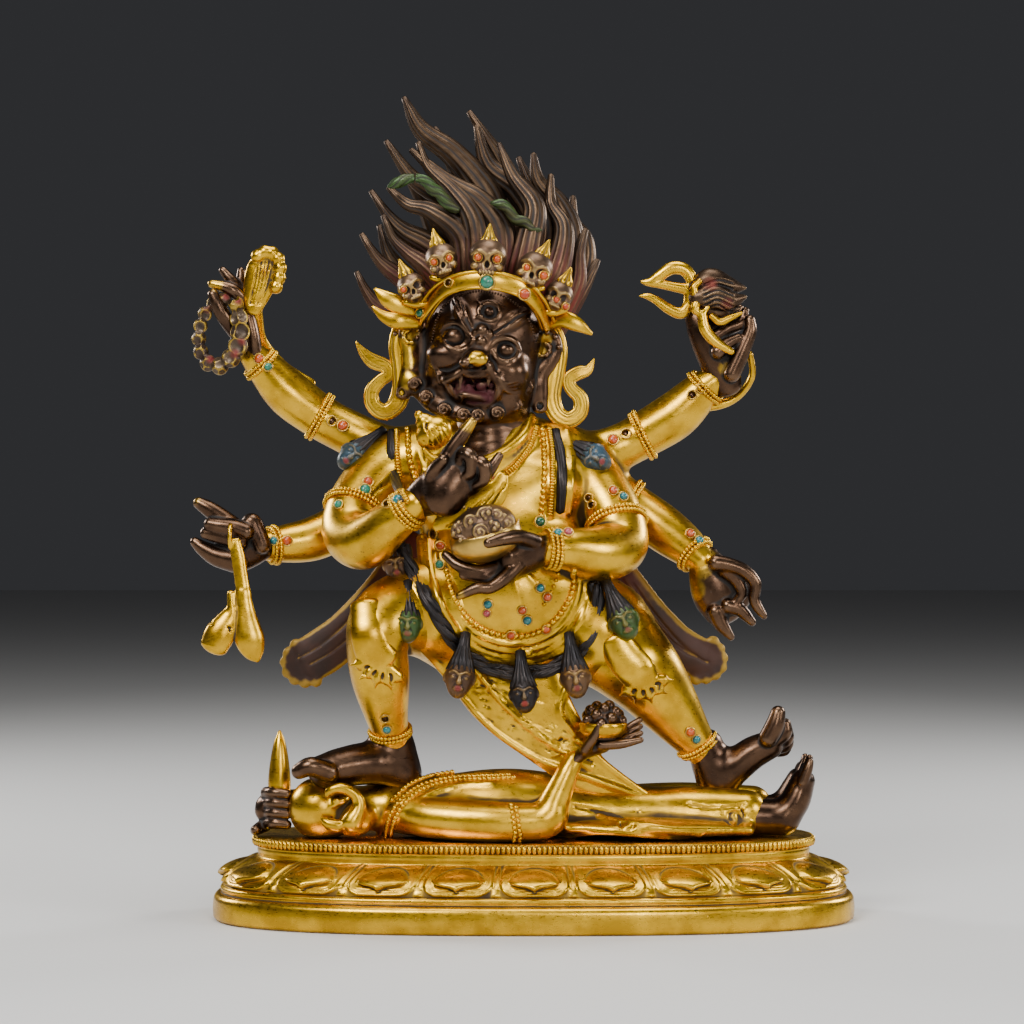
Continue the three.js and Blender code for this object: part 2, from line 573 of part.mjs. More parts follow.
function mahakalaFigure() {
  const { parts, mouth } = head();
  const whole = join([
    ...body(),
    ...feet(),
    ...parts,
    ...hairAndCrown(),
    ...scarves(),
    ...skinsAndCloth(),
    ...heldThings(),
    ...garland(),
    ...STONES.map(colletSolid),
  ]);
  const sockets = STONES.map((stone) => stoneSolid(stone, PIECE_GAP));
  return whole.subtract(join([mouth, proneFigure(PIECE_GAP), drumRing(PIECE_GAP), ...sockets]));
}

function mesh(name, solid, finish, z = 0) {
  const made = new THREE.Mesh(geometryOf(solid), new THREE.MeshStandardMaterial(finish));
  made.name = name;
  made.position.z = z;
  return made;
}

const group = new THREE.Group();
group.add(mesh("lotus_base", lotusBase(), GILT));
group.add(mesh("elephant_headed_figure", proneFigure(), GILT, BASE_HEIGHT));
group.add(mesh("mahakala_figure", mahakalaFigure(), GILT, BASE_HEIGHT));
group.add(mesh("hand_drum", handDrum(), GILT, BASE_HEIGHT));
for (const stone of STONES) group.add(mesh(stone.name, stoneSolid(stone), stone.stone, BASE_HEIGHT));

export default group;
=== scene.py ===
"""Looks of a gilt copper-alloy mahakala figure on its lotus base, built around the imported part.

Forms are modelled in pose millimetres: x to the viewer's right, y away from the viewer, z above the
lotus. They are lifted on to the base and turned into metres as their meshes are made.
"""

import logging
import math
from dataclasses import dataclass, field
from enum import Enum
from typing import Callable, ClassVar, Optional, Sequence, Union

import bpy
import numpy as np
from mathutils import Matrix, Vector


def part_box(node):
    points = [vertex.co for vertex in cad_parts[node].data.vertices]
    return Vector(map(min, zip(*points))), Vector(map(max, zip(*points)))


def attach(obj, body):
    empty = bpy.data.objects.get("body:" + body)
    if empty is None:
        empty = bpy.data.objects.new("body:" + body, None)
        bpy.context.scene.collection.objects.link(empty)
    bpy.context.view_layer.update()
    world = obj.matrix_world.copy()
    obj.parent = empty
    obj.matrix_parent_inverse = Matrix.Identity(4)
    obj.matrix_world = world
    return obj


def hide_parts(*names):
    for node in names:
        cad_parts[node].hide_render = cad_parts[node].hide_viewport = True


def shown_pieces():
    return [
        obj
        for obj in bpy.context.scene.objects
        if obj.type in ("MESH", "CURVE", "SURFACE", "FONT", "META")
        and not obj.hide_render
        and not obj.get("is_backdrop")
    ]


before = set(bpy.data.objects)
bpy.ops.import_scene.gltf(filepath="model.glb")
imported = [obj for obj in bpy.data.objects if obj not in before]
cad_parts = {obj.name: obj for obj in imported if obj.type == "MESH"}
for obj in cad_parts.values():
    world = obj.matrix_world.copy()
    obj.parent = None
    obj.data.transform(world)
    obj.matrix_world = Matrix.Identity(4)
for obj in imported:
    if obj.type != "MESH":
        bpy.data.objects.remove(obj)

import openvdb
from mathutils import Vector
from mathutils.bvhtree import BVHTree

LOG = logging.getLogger("mahakala")
METRES = 0.001
FAR = 40.0
TINY = 1e-6
SEED = 11
THIN_ABOVE = 40000
THIN_SHARE = 0.44
# Share of the hollow value kept at the back, where recesses take less grime and painted shade.
BACK_GRIME_AND_SHADE = 0.3
BUMP_DEPTH = 0.0002
WELL_SHARE = 0.86
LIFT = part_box("lotus_base")[1].z / METRES

Array = np.ndarray
Point = tuple[float, float, float]
Station = tuple[float, float, float, float]
Mark = tuple[float, float, float]
Colour = tuple[float, float, float]
Setting = Union[float, int, bool, str, tuple, bpy.types.NodeSocket, bpy.types.Material]


class Slot(Enum):
    """Material slots of the record."""

    BASE = "gilt_base"
    PRONE = "gilt_prone"
    FIGURE = "gilt_figure"
    DRUM = "gilt_drum"
    TURQUOISE = "turquoise"
    CORAL = "coral"
    GREEN = "green_stone"


class Node(Enum):
    """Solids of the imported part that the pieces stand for."""

    BASE = "lotus_base"
    PRONE = "elephant_headed_figure"
    FIGURE = "mahakala_figure"
    DRUM = "hand_drum"
    CROWN_TURQUOISE = "crown_turquoise"
    CROWN_CORAL = "crown_coral"
    CROWN_GREEN = "crown_green_stone"
    BELLY_GREEN = "belly_green_stone"


class Stone(Enum):
    """What is set in a collet."""

    CORAL = "coral"
    TURQUOISE = "turquoise"
    GREEN = "green"
    BLUE = "blue"
    ROSE = "rose"
    EMPTY = "empty"


def linked(name: str, data: Union[bpy.types.Mesh, bpy.types.Light, bpy.types.Camera]) -> bpy.types.Object:
    """Makes an object of some data in the scene's collection, and returns it."""
    made = bpy.data.objects.new(name, data)
    bpy.context.scene.collection.objects.link(made)
    return made


def baked(made: bpy.types.Object) -> bpy.types.Mesh:
    """Takes an object's modifiers off and returns the mesh that they made of it."""
    bpy.context.view_layer.update()
    plain = bpy.data.meshes.new_from_object(made.evaluated_get(bpy.context.evaluated_depsgraph_get()))
    made.modifiers.clear()
    return plain


@dataclass(frozen=True)
class Lens:
    """The photograph's view: its pixels, seen from in front, as rays through the pose space."""

    x: float = -8.6
    away: float = 1200.0
    height: float = 161.6
    pitch: float = 0.4
    pixels: int = 1024
    sensor: float = 36.0

    def at(self, px: float, py: float, y: Union[float, Array]) -> Array:
        """Where the ray through a pixel is at a depth.

        Args:
            px: column of the pixel.
            py: row of the pixel.
            y: depth or depths in pose millimetres.

        Returns:
            The point or points, in pose millimetres.
        """
        depth = np.asarray(y, float)
        grow = 1 + depth / self.away
        across = self.x + (px - self.pixels / 2) * self.pitch * grow
        up = self.height - LIFT - (py - self.pixels / 2) * self.pitch * grow
        return np.stack([across, depth, up], -1)

    def stations(self, marks: Sequence[Mark], y: float) -> list[Station]:
        """Returns stations at one depth, from their columns, rows and radii."""
        return [(*self.at(px, py, y), radius) for px, py, radius in marks]

    def camera(self) -> None:
        """Makes the camera."""
        data = bpy.data.cameras.new("camera")
        data.sensor_width = self.sensor
        data.lens = self.sensor * self.away / (self.pixels * self.pitch)
        data.clip_end = 10
        made = linked("camera", data)
        made.location = Vector((self.x, -self.away, self.height)) * METRES
        made.rotation_euler = (math.pi / 2, 0, 0)
        bpy.context.scene.camera = made


LENS = Lens()


def smooth_line(stations: Sequence[Sequence[float]], step: float) -> Array:
    """Runs a smooth line through stations.

    Args:
        stations: points with any further columns, such as a radius, which are carried along.
        step: greatest distance between neighbours on the line.

    Returns:
        The line's points, one a row.
    """
    given = np.asarray(stations, float)
    ends = np.vstack([2 * given[0] - given[1], given, 2 * given[-1] - given[-2]])
    spans = []
    for i in range(1, len(ends) - 2):
        p0, p1, p2, p3 = ends[i - 1 : i + 3]
        count = max(2, int(np.ceil(np.linalg.norm((p2 - p1)[:3]) / step)))
        t = np.linspace(0, 1, count, endpoint=False)[:, None]
        cubic = (2 * p1) + (p2 - p0) * t + (2 * p0 - 5 * p1 + 4 * p2 - p3) * t**2
        spans.append(0.5 * (cubic + (3 * p1 - p0 - 3 * p2 + p3) * t**3))
    line = np.vstack([*spans, given[-1:]])
    finest = 0.02
    line[:, 3:] = np.maximum(line[:, 3:], finest)
    return line


def unit(vectors: Array) -> Array:
    """Returns vectors with a length of one."""
    return vectors / np.maximum(np.linalg.norm(vectors, axis=-1, keepdims=True), 1e-9)


@dataclass
class Shape:
    """A mesh in pose millimetres with a few values at each point."""

    points: Array
    faces: list[Array]
    values: dict[str, Array] = field(default_factory=dict)

    @staticmethod
    def joined(shapes: Sequence["Shape"]) -> "Shape":
        """Puts shapes into one.

        Args:
            shapes: the shapes, left as they are.

        Returns:
            One shape that holds them all.
        """
        names = {name for shape in shapes for name in shape.values}
        faces: list[Array] = []
        start = 0
        for shape in shapes:
            faces.extend(part + start for part in shape.faces)
            start += len(shape.points)
        values = {
            name: np.concatenate([s.values.get(name, np.zeros(len(s.points))) for s in shapes])
            for name in names
        }
        return Shape(np.vstack([shape.points for shape in shapes]), faces, values)

    def paint(self, name: str, spots: Sequence[Sequence[float]], edge: float = 1.5) -> None:
        """Marks the points near some places.

        Args:
            name: the value that is raised to one there.
            spots: places as x, y, z and a radius.
            edge: width of the soft border.
        """
        value = self.values.get(name, np.zeros(len(self.points)))
        for x, y, z, radius in spots:
            away = np.linalg.norm(self.points - (x, y, z), axis=1)
            value = np.maximum(value, np.clip((radius - away) / edge + 0.5, 0, 1))
        self.values[name] = value

    def tree(self) -> BVHTree:
        """Returns a tree for finding where rays meet the shape."""
        polygons = [tuple(row) for part in self.faces for row in part.tolist()]
        return BVHTree.FromPolygons(self.points.tolist(), polygons)

    def object(self, name: str, material: bpy.types.Material) -> bpy.types.Object:
        """Makes the shape's object in metres, on top of the base.

        Args:
            name: the object's name.
            material: what it is made of.

        Returns:
            The linked object, with its place in its mesh.
        """
        mesh = bpy.data.meshes.new(name)
        corners = np.concatenate([part.ravel() for part in self.faces]).astype(np.int32)
        sizes = np.concatenate([np.full(len(part), part.shape[1]) for part in self.faces])
        starts = np.concatenate([[0], np.cumsum(sizes)[:-1]]).astype(np.int32)
        mesh.vertices.add(len(self.points))
        mesh.loops.add(len(corners))
        mesh.polygons.add(len(sizes))
        placed = (self.points + (0, 0, LIFT)) * METRES
        mesh.vertices.foreach_set("co", placed.astype(np.float32).ravel())
        mesh.loops.foreach_set("vertex_index", corners)
        mesh.polygons.foreach_set("loop_start", starts)
        mesh.polygons.foreach_set("use_smooth", np.ones(len(sizes), bool))
        for key, value in self.values.items():
            layer = mesh.attributes.new(key, "FLOAT", "POINT")
            layer.data.foreach_set("value", value.astype(np.float32))
        mesh.update(calc_edges=True)
        mesh.validate()
        mesh.materials.append(material)
        made = linked(name, mesh)
        if len(corners) > THIN_ABOVE:
            thin(made)
        return made


def thin(made: bpy.types.Object) -> None:
    """Takes out the triangles that a piece's smooth stretches don't need.

    Args:
        made: the piece, whose mesh is replaced by one with the same name and values.
    """
    modifier = made.modifiers.new("thin", "DECIMATE")
    modifier.ratio = THIN_SHARE
    full, made.data = made.data, baked(made)
    bpy.data.meshes.remove(full)
    made.data.name = made.name


class Clay:
    """A block of modelling clay, held as distances to its surface on a grid."""

    def __init__(self, low: Point, high: Point, cell: float) -> None:
        """Takes an empty block.

        Args:
            low: lowest corner.
            high: highest corner.
            cell: distance between grid points.
        """
        self.low = np.array(low, float)
        self.cell = cell
        self.count = np.ceil((np.array(high) - self.low) / cell).astype(int) + 1
        self.field = np.full(self.count, FAR, np.float32)

    def window(self, low: Array, high: Array) -> tuple[tuple[slice, ...], list[Array]]:
        """Finds the part of the grid between two corners.

        Args:
            low: lowest corner.
            high: highest corner.

        Returns:
            Its slices, and the x, y and z of its points ready for broadcasting.
        """
        first = np.clip(np.floor((low - self.low) / self.cell).astype(int), 0, self.count - 1)
        last = np.clip(np.ceil((high - self.low) / self.cell).astype(int) + 1, first + 1, self.count)
        box = tuple(slice(int(a), int(b)) for a, b in zip(first, last))
        lines = [
            (self.low[i] + self.cell * np.arange(box[i].start, box[i].stop)).astype(np.float32)
            for i in range(3)
        ]
        return box, list(np.meshgrid(*lines, indexing="ij", sparse=True))

    def lay(self, box: tuple[slice, ...], form: Array, soft: float, carve: bool) -> None:
        """Adds a form to the clay, or carves it away.

        Args:
            box: the slices that the form's distances fill.
            form: the distances.
            soft: how widely the form flows into what is there.
            carve: whether it is taken away.
        """
        here = self.field[box]
        sign = -1.0 if carve else 1.0
        blend = np.maximum(soft - np.abs(sign * here - form), 0) / max(soft, TINY)
        self.field[box] = sign * (np.minimum(sign * here, form) - blend * blend * soft * 0.25)

    def tube(
        self,
        stations: Sequence[Station],
        soft: float = 2.0,
        flat: float = 1.0,
        wide: Point = (0, 0, 1),
        carve: bool = False,
    ) -> None:
        """Lays a tube whose radius changes along its line.

        Args:
            stations: x, y, z and radius.
            soft: how widely it flows into the clay.
            flat: its thickness as a share of its breadth.
            wide: direction of its broad side.
            carve: whether it is taken away.
        """
        line = smooth_line(stations, max(0.9, min(s[3] for s in stations) * 0.3))
        reach = soft + 3 * self.cell
        girths = np.maximum(line[:-1, 3:4], line[1:, 3:4]) + reach
        low = (np.minimum(line[:-1, :3], line[1:, :3]) - girths).min(0)
        high = (np.maximum(line[:-1, :3], line[1:, :3]) + girths).max(0)
        box, _ = self.window(low, high)
        form = np.full(tuple(s.stop - s.start for s in box), FAR, np.float32)
        broad = np.array(wide, float)
        for a, b in zip(line[:-1], line[1:]):
            near, far = np.minimum(a[:3], b[:3]), np.maximum(a[:3], b[:3])
            girth = max(a[3], b[3]) + reach
            part, (x, y, z) = self.window(near - girth, far + girth)
            local = tuple(slice(p.start - s.start, p.stop - s.start) for p, s in zip(part, box))
            run = b[:3] - a[:3]
            length = max(float(run @ run), 1e-9)
            dx, dy, dz = x - a[0], y - a[1], z - a[2]
            t = np.clip((dx * run[0] + dy * run[1] + dz * run[2]) / length, 0, 1).astype(np.float32)
            qx, qy, qz = dx - t * run[0], dy - t * run[1], dz - t * run[2]
            radius = a[3] + t * (b[3] - a[3])
            square = qx * qx + qy * qy + qz * qz
            if flat == 1.0:
                away = np.sqrt(square) - radius
            else:
                way = unit(broad - run * (broad @ run) / length)
                across = (qx * way[0] + qy * way[1] + qz * way[2]) ** 2
                through = np.maximum(square - across, 0) + 1e-3
                across = across / radius**2
                through = through / (radius * flat) ** 2
                inner = np.sqrt(across + through)
                slope = np.sqrt(across / radius**2 + through / (radius * flat) ** 2)
                away = inner * (inner - 1) / slope
            form[local] = np.minimum(form[local], away)
        self.lay(box, form, soft, carve)

    def ball(
        self,
        centre: Sequence[float],
        radii: Union[float, Point],
        soft: float = 2.0,
        lean: float = 0.0,
        carve: bool = False,
    ) -> None:
        """Lays an ellipsoid.

        Args:
            centre: its middle.
            radii: its half sizes, or its radius.
            soft: how widely it flows into the clay.
            lean: degrees by which its top leans to the viewer's right.
            carve: whether it is taken away.
        """
        size = np.full(3, radii, float) if np.isscalar(radii) else np.array(radii, float)
        middle = np.array(centre[:3], float)
        reach = size.max() + soft + 3 * self.cell
        box, (x, y, z) = self.window(middle - reach, middle + reach)
        dx, dy, dz = x - middle[0], y - middle[1], z - middle[2]
        c, s = math.cos(math.radians(lean)), math.sin(math.radians(lean))
        dx, dz = dx * c - dz * s, dx * s + dz * c
        inner = np.sqrt((dx / size[0]) ** 2 + (dy / size[1]) ** 2 + (dz / size[2]) ** 2) + 1e-4
        slope = np.sqrt((dx / size[0] ** 2) ** 2 + (dy / size[1] ** 2) ** 2 + (dz / size[2] ** 2) ** 2)
        self.lay(box, (inner * (inner - 1) / (slope + 1e-5)).astype(np.float32), soft, carve)

    def sample(self, grid: Array, points: Array) -> Array:
        """Reads a grid between its points.

        Args:
            grid: values on the clay's grid.
            points: places in pose millimetres.

        Returns:
            A value for each place.
        """
        at = np.clip((points - self.low) / self.cell, 0, self.count - 1.001)
        first = at.astype(int)
        share = at - first
        total = np.zeros(len(points))
        for corner in np.ndindex(2, 2, 2):
            pick = first + corner
            weight = np.prod(np.where(corner, share, 1 - share), axis=1)
            total += weight * grid[pick[:, 0], pick[:, 1], pick[:, 2]]
        return total

    def seen(self, px: float, py: float, sink: float = 0.0) -> Point:
        """Finds the clay's nearest point behind a pixel of the photograph.

        Args:
            px: column of the pixel.
            py: row of the pixel.
            sink: how far the point is moved away from the viewer.

        Returns:
            The point, or one in the block's middle where there is no clay.
        """
        depths = np.arange(self.low[1], self.low[1] + self.cell * (self.count[1] - 1), self.cell / 2)
        line = LENS.at(px, py, depths)
        inside = np.flatnonzero(self.sample(self.field, line) < 0)
        found = line[inside[0]] if len(inside) else line[len(line) // 2]
        return (float(found[0]), float(found[1]) + sink, float(found[2]))

    def trace(self, marks: Sequence[Mark], sink: float = 0.0) -> list[Station]:
        """Lays a line of stations over the clay, behind pixels of the photograph.

        Args:
            marks: column, row and radius of each.
            sink: how far each is moved away from the viewer.

        Returns:
            The stations.
        """
        return [(*self.seen(px, py, sink), radius) for px, py, radius in marks]

    def line(
        self,
        marks: Sequence[tuple[float, float]],
        radius: float,
        sink: float,
        soft: float,
        carve: bool = False,
    ) -> None:
        """Lays a line of one thickness over the clay, behind pixels of the photograph.

        Args:
            marks: columns and rows.
            radius: its radius.
            sink: how far it is moved away from the viewer.
            soft: how widely it flows into the clay.
            carve: whether it is taken away.
        """
        self.tube(self.trace([(px, py, radius) for px, py in marks], sink), soft=soft, carve=carve)

    def wrap(self, centre: Sequence[float], along: Sequence[float], shift: float, most: float) -> Array:
        """Finds a ring that fits round a limb.

        Args:
            centre: a place inside the limb.
            along: the limb's direction.
            shift: how far along it the ring is moved.
            most: the largest radius looked for.

        Returns:
            The ring's points.
        """
        way = unit(np.array(along, float))
        side = unit(np.cross(way, (0, 0, 1)))
        angle = np.linspace(0, 2 * math.pi, 48, endpoint=False)[:, None]
        out = np.cos(angle) * side + np.sin(angle) * np.cross(way, side)
        start = np.array(centre) + way * shift
        reach = np.arange(0, most, self.cell / 2)
        line = start + out[:, None] * reach[None, :, None]
        outside = self.sample(self.field, line.reshape(-1, 3)).reshape(len(out), -1) > 0
        found = np.where(outside.any(1), reach[np.argmax(outside, axis=1)], most)
        found = np.minimum(found, np.median(found) * 1.2)
        for _ in range(3):
            found = (np.roll(found, 1) + found + np.roll(found, -1)) / 3
        clear = 0.45
        return start + out * (found[:, None] + clear)

    def blurred(self, reach: float) -> Array:
        """Returns the distances, evened out over a reach in millimetres."""
        grid = np.clip(self.field, -reach, reach)
        half = max(1, int(round(reach / self.cell)))
        for axis in range(3):
            size = grid.shape[axis]
            along = [-1 if a == axis else 1 for a in range(3)]
            total = np.cumsum(grid, axis=axis, dtype=np.float64)
            upper = np.minimum(np.arange(size) + half, size - 1)
            lower = np.arange(size) - half - 1
            part = np.take(total, upper, axis=axis)
            part -= np.take(total, np.maximum(lower, 0), axis=axis) * (lower >= 0).reshape(along)
            counts = (upper - np.maximum(lower, -1)).reshape(along)
            grid = (part / counts).astype(np.float32)
        return grid

    def shape(self, reach: float = 2.0) -> Shape:
        """Makes a mesh of the clay's surface.

        Args:
            reach: how far hollows and ridges are looked for.

        Returns:
            The mesh. Its value hollow is above zero in recesses and below zero on ridges.
        """
        volume = openvdb.FloatGrid(FAR)
        volume.copyFromArray(self.field)
        points, quads = volume.convertToQuads(isovalue=0.0)
        points = self.low + points.astype(float) * self.cell
        a, b, c = points[quads[:, 0]], points[quads[:, 1]], points[quads[:, 2]]
        if np.einsum("ij,ij->", a, np.cross(b, c)) < 0:
            quads = quads[:, ::-1]
        # The hollow value darkens recesses with grime and painted shade, and rubs ridges bright.
        contrast = 4
        hollow = -self.sample(self.blurred(reach), points) / reach * contrast
        return Shape(points, [quads.astype(np.int64)], {"hollow": np.clip(hollow, -1, 1)})


@dataclass
class Section:
    """The outline of a swept form: an oval that may be grooved along its length."""

    sides: int = 12
    flat: float = 1.0
    ridges: int = 0
    depth: float = 0.0
    twist: float = 0.0
    rim: float = 0.0

    def offsets(self, along: Array, radius: Array) -> tuple[Array, Array, Array]:
        """Works out the outline at each ring.

        Args:
            along: distance of each ring from the start.
            radius: radius of each ring.

        Returns:
            Offsets along the broad side, offsets along the thin side, and how deep in a groove.
        """
        angle = (np.arange(self.sides) + 0.5)[None, :] * 2 * math.pi / self.sides
        turned = self.ridges * angle + self.twist * along[:, None]
        groove = 0.5 - 0.5 * np.cos(turned) if self.ridges else np.zeros((len(along), self.sides))
        size = radius[:, None] * (1 - self.depth * groove)
        swell = 1 + self.rim * np.cos(angle) ** 4
        return size * np.cos(angle), size * self.flat * np.sin(angle) * swell, groove


def ringed(rings: Sequence[Array], ends: Sequence[Sequence[float]], hollow: Array) -> Shape:
    """Joins rings of points into a closed skin.

    Args:
        rings: points of each ring, each turning the same way.
        ends: the points that close the first and the last ring.
        hollow: the hollow value of each point, ends last.

    Returns:
        The closed form.
    """
    count, sides = len(rings), len(rings[0])
    points = np.vstack([*rings, *(np.array(end, float)[None, :] for end in ends)])
    around = np.arange(sides)
    after = (around + 1) % sides
    row = np.arange(count - 1)[:, None] * sides
    quads = np.stack([row + around, row + after, row + after + sides, row + around + sides], -1)
    base = (count - 1) * sides
    start = np.stack([np.full(sides, count * sides), after, around], -1)
    end = np.stack([np.full(sides, count * sides + 1), base + around, base + after], -1)
    faces = [quads.reshape(-1, 4), np.vstack([start, end])]
    first, second, third = (points[faces[0][:, i]] for i in range(3))
    if np.einsum("ij,ij->", first - points.mean(0), np.cross(second - first, third - first)) < 0:
        faces = [part[:, ::-1] for part in faces]
    return Shape(points, faces, {"hollow": hollow})


def sweep(
    stations: Sequence[Sequence[float]],
    section: Section,
    wide: Sequence[float] = (1, 0, 0),
    step: float = 1.5,
) -> Shape:
    """Sweeps an outline along a line.

    Args:
        stations: x, y, z and radius.
        section: the outline.
        wide: direction of its broad side.
        step: distance between rings.

    Returns:
        The closed form, with each point's place along it as the value share.
    """
    line = smooth_line(stations, step)
    centre, radius = line[:, :3], line[:, 3]
    ahead = unit(np.gradient(centre, axis=0))
    broad = np.array(wide, float)[None, :]
    broad = unit(broad - ahead * (broad * ahead).sum(1, keepdims=True))
    through = np.cross(ahead, broad)
    along = np.concatenate([[0], np.cumsum(np.linalg.norm(np.diff(centre, axis=0), axis=1))])
    u, v, groove = section.offsets(along, radius)
    rings = centre[:, None] + broad[:, None] * u[..., None] + through[:, None] * v[..., None]
    bulge = 0.5
    ends = (centre[0] - ahead[0] * radius[0] * bulge, centre[-1] + ahead[-1] * radius[-1] * bulge)
    # Grooves get a higher hollow value, so they darken with grime and painted shade.
    grime_and_shade_offset = 0.35
    made = ringed(list(rings), ends, np.concatenate([groove.ravel() - grime_and_shade_offset, [0, 0]]))
    share = along / max(along[-1], TINY)
    made.values["share"] = np.concatenate([np.repeat(share, section.sides), [0, 1]])
    return made


def lathe(
    profile: Sequence[tuple[float, float]], centre: Sequence[float], axis: Sequence[float], sides: int = 12
) -> Shape:
    """Turns a profile about an axis.

    Args:
        profile: radius and height of each ring, from below.
        centre: where the height is nought.
        axis: the way up.
        sides: faces around.

    Returns:
        The closed form.
    """
    way = unit(np.array(axis, float))
    side = unit(np.cross(way, (0.31, 0.2, 0.93) if abs(way[2]) < 0.9 else (1, 0, 0)))
    other = np.cross(way, side)
    angle = np.arange(sides) * 2 * math.pi / sides
    round_it = np.cos(angle)[:, None] * side + np.sin(angle)[:, None] * other
    rings = [np.array(centre) + way * h + r * round_it for r, h in profile]
    ends = [np.array(centre) + way * profile[i][1] for i in (0, -1)]
    return ringed(rings, ends, np.zeros(len(profile) * sides + 2))


class Wiring:
    """Adds nodes to one tree and links them."""

    def __init__(self, tree: bpy.types.NodeTree) -> None:
        """Takes the tree."""
        self.tree = tree

    def node(
        self,
        kind: str,
        settings: Optional[dict[str, Setting]] = None,
        inputs: Optional[dict[Union[str, int], Setting]] = None,
    ) -> bpy.types.Node:
        """Adds a node.

        Args:
            kind: its type.
            settings: its properties.
            inputs: values or linked sockets by input name or number.

        Returns:
            The node.
        """
        made = self.tree.nodes.new(kind)
        for key, value in (settings or {}).items():
            setattr(made, key, value)
        for key, value in (inputs or {}).items():
            socket = made.inputs[key]
            if isinstance(value, bpy.types.NodeSocket):
                self.tree.links.new(value, socket)
            else:
                socket.default_value = value
        return made

    def out(
        self, kind: str, inputs: dict[Union[str, int], Setting], settings: Optional[dict[str, Setting]] = None
    ) -> bpy.types.NodeSocket:
        """Adds a node and returns its first output."""
        return self.node(kind, settings, inputs).outputs[0]

    def group(self, tree: bpy.types.NodeTree, inputs: dict[Union[str, int], Setting]) -> bpy.types.Node:
        """Adds a node group."""
        return self.node("ShaderNodeGroup", {"node_tree": tree}, inputs)

    def maths(self, operation: str, a: Setting, b: Setting = 0.0) -> bpy.types.NodeSocket:
        """Returns the result of an operation on two numbers."""
        return self.out("ShaderNodeMath", {0: a, 1: b}, {"operation": operation})

    def mix(self, share: Setting, a: Setting, b: Setting) -> bpy.types.NodeSocket:
        """Returns a colour between two."""
        made = self.node("ShaderNodeMix", {"data_type": "RGBA"}, {0: share, 6: a, 7: b})
        return made.outputs[2]

    def between(self, share: Setting, a: Setting, b: Setting) -> bpy.types.NodeSocket:
        """Returns a number between two."""
        return self.out("ShaderNodeMix", {0: share, 2: a, 3: b}, {"data_type": "FLOAT"})

    def ramp(self, value: Setting, low: Setting, high: Setting) -> bpy.types.NodeSocket:
        """Returns a value's smooth rise from nought to one."""
        ends = {"Value": value, "From Min": low, "From Max": high}
        return self.out("ShaderNodeMapRange", ends, {"interpolation_type": "SMOOTHSTEP"})

    def value(self, name: str) -> bpy.types.NodeSocket:
        """Returns a value held at the mesh's points."""
        return self.node("ShaderNodeAttribute", {"attribute_name": name}).outputs["Fac"]

    def noise(self, place: Setting, scale: Setting, detail: float) -> bpy.types.NodeSocket:
        """Returns cloudy noise."""
        made = self.node("ShaderNodeTexNoise", inputs={"Vector": place, "Scale": scale, "Detail": detail})
        return made.outputs["Fac"]


def effect(
    name: str,
    inputs: dict[str, float],
    outputs: Sequence[str],
    wire: Callable[[Wiring, dict[str, bpy.types.NodeSocket]], dict[str, bpy.types.NodeSocket]],
) -> bpy.types.NodeTree:
    """Makes a shader node group, or returns the one of that name.

    Args:
        name: the group's name.
        inputs: its number inputs and their first values. A vector input named Place comes before them.
        outputs: its outputs.
        wire: makes the inner nodes from the inputs and returns the outputs' sockets.

    Returns:
        The group.
    """
    if name in bpy.data.node_groups:
        return bpy.data.node_groups[name]
    tree = bpy.data.node_groups.new(name, "ShaderNodeTree")
    tree.interface.new_socket("Place", in_out="INPUT", socket_type="NodeSocketVector")
    for key, value in inputs.items():
        socket = tree.interface.new_socket(key, in_out="INPUT", socket_type="NodeSocketFloat")
        socket.default_value = value
    for key in outputs:
        tree.interface.new_socket(key, in_out="OUTPUT", socket_type="NodeSocketFloat")
    wiring = Wiring(tree)
    given = wiring.node("NodeGroupInput")
    made = wire(wiring, {socket.name: socket for socket in given.outputs if socket.name})
    result = wiring.node("NodeGroupOutput")
    for key, socket in made.items():
        tree.links.new(socket, result.inputs[key])
    return tree


def relief_mask(
    name: str, sign: float, scale: float, detail: float, low: float, high: float
) -> bpy.types.NodeTree:
    """Makes the group that finds hollows or ridges, with a cloudy border.

    Args:
        name: the group's name.
        sign: one for hollows and minus one for ridges.
        scale: scale of the clouds.
        detail: detail of the clouds.
        low: where the mask starts to rise.
        high: where the mask is full.

    Returns:
        The group.
    """

    def wire(w: Wiring, given: dict[str, bpy.types.NodeSocket]) -> dict[str, bpy.types.NodeSocket]:
        """Wires the surface's relief and noise into a mask."""
        cloud = w.noise(given["Place"], given["Scale"], detail)
        spread = w.maths("MULTIPLY", w.maths("SUBTRACT", cloud, 0.5), 0.5)
        depth = w.maths("ADD", w.maths("MULTIPLY", given["Hollow"], sign), spread)
        return {"Mask": w.ramp(depth, given["From"], given["To"])}

    return effect(name, {"Hollow": 0, "Scale": scale, "From": low, "To": high}, ["Mask"], wire)


def patina() -> bpy.types.NodeTree:
    """Returns the group that finds recesses, which grime and painted shade darken."""
    return relief_mask("patina", 1.0, 120, 6.0, 0.12, 0.6)


def edge_wear() -> bpy.types.NodeTree:
    """Returns the group that finds ridges rubbed bright."""
    return relief_mask("edge_wear", -1.0, 200, 5.0, 0.3, 0.8)


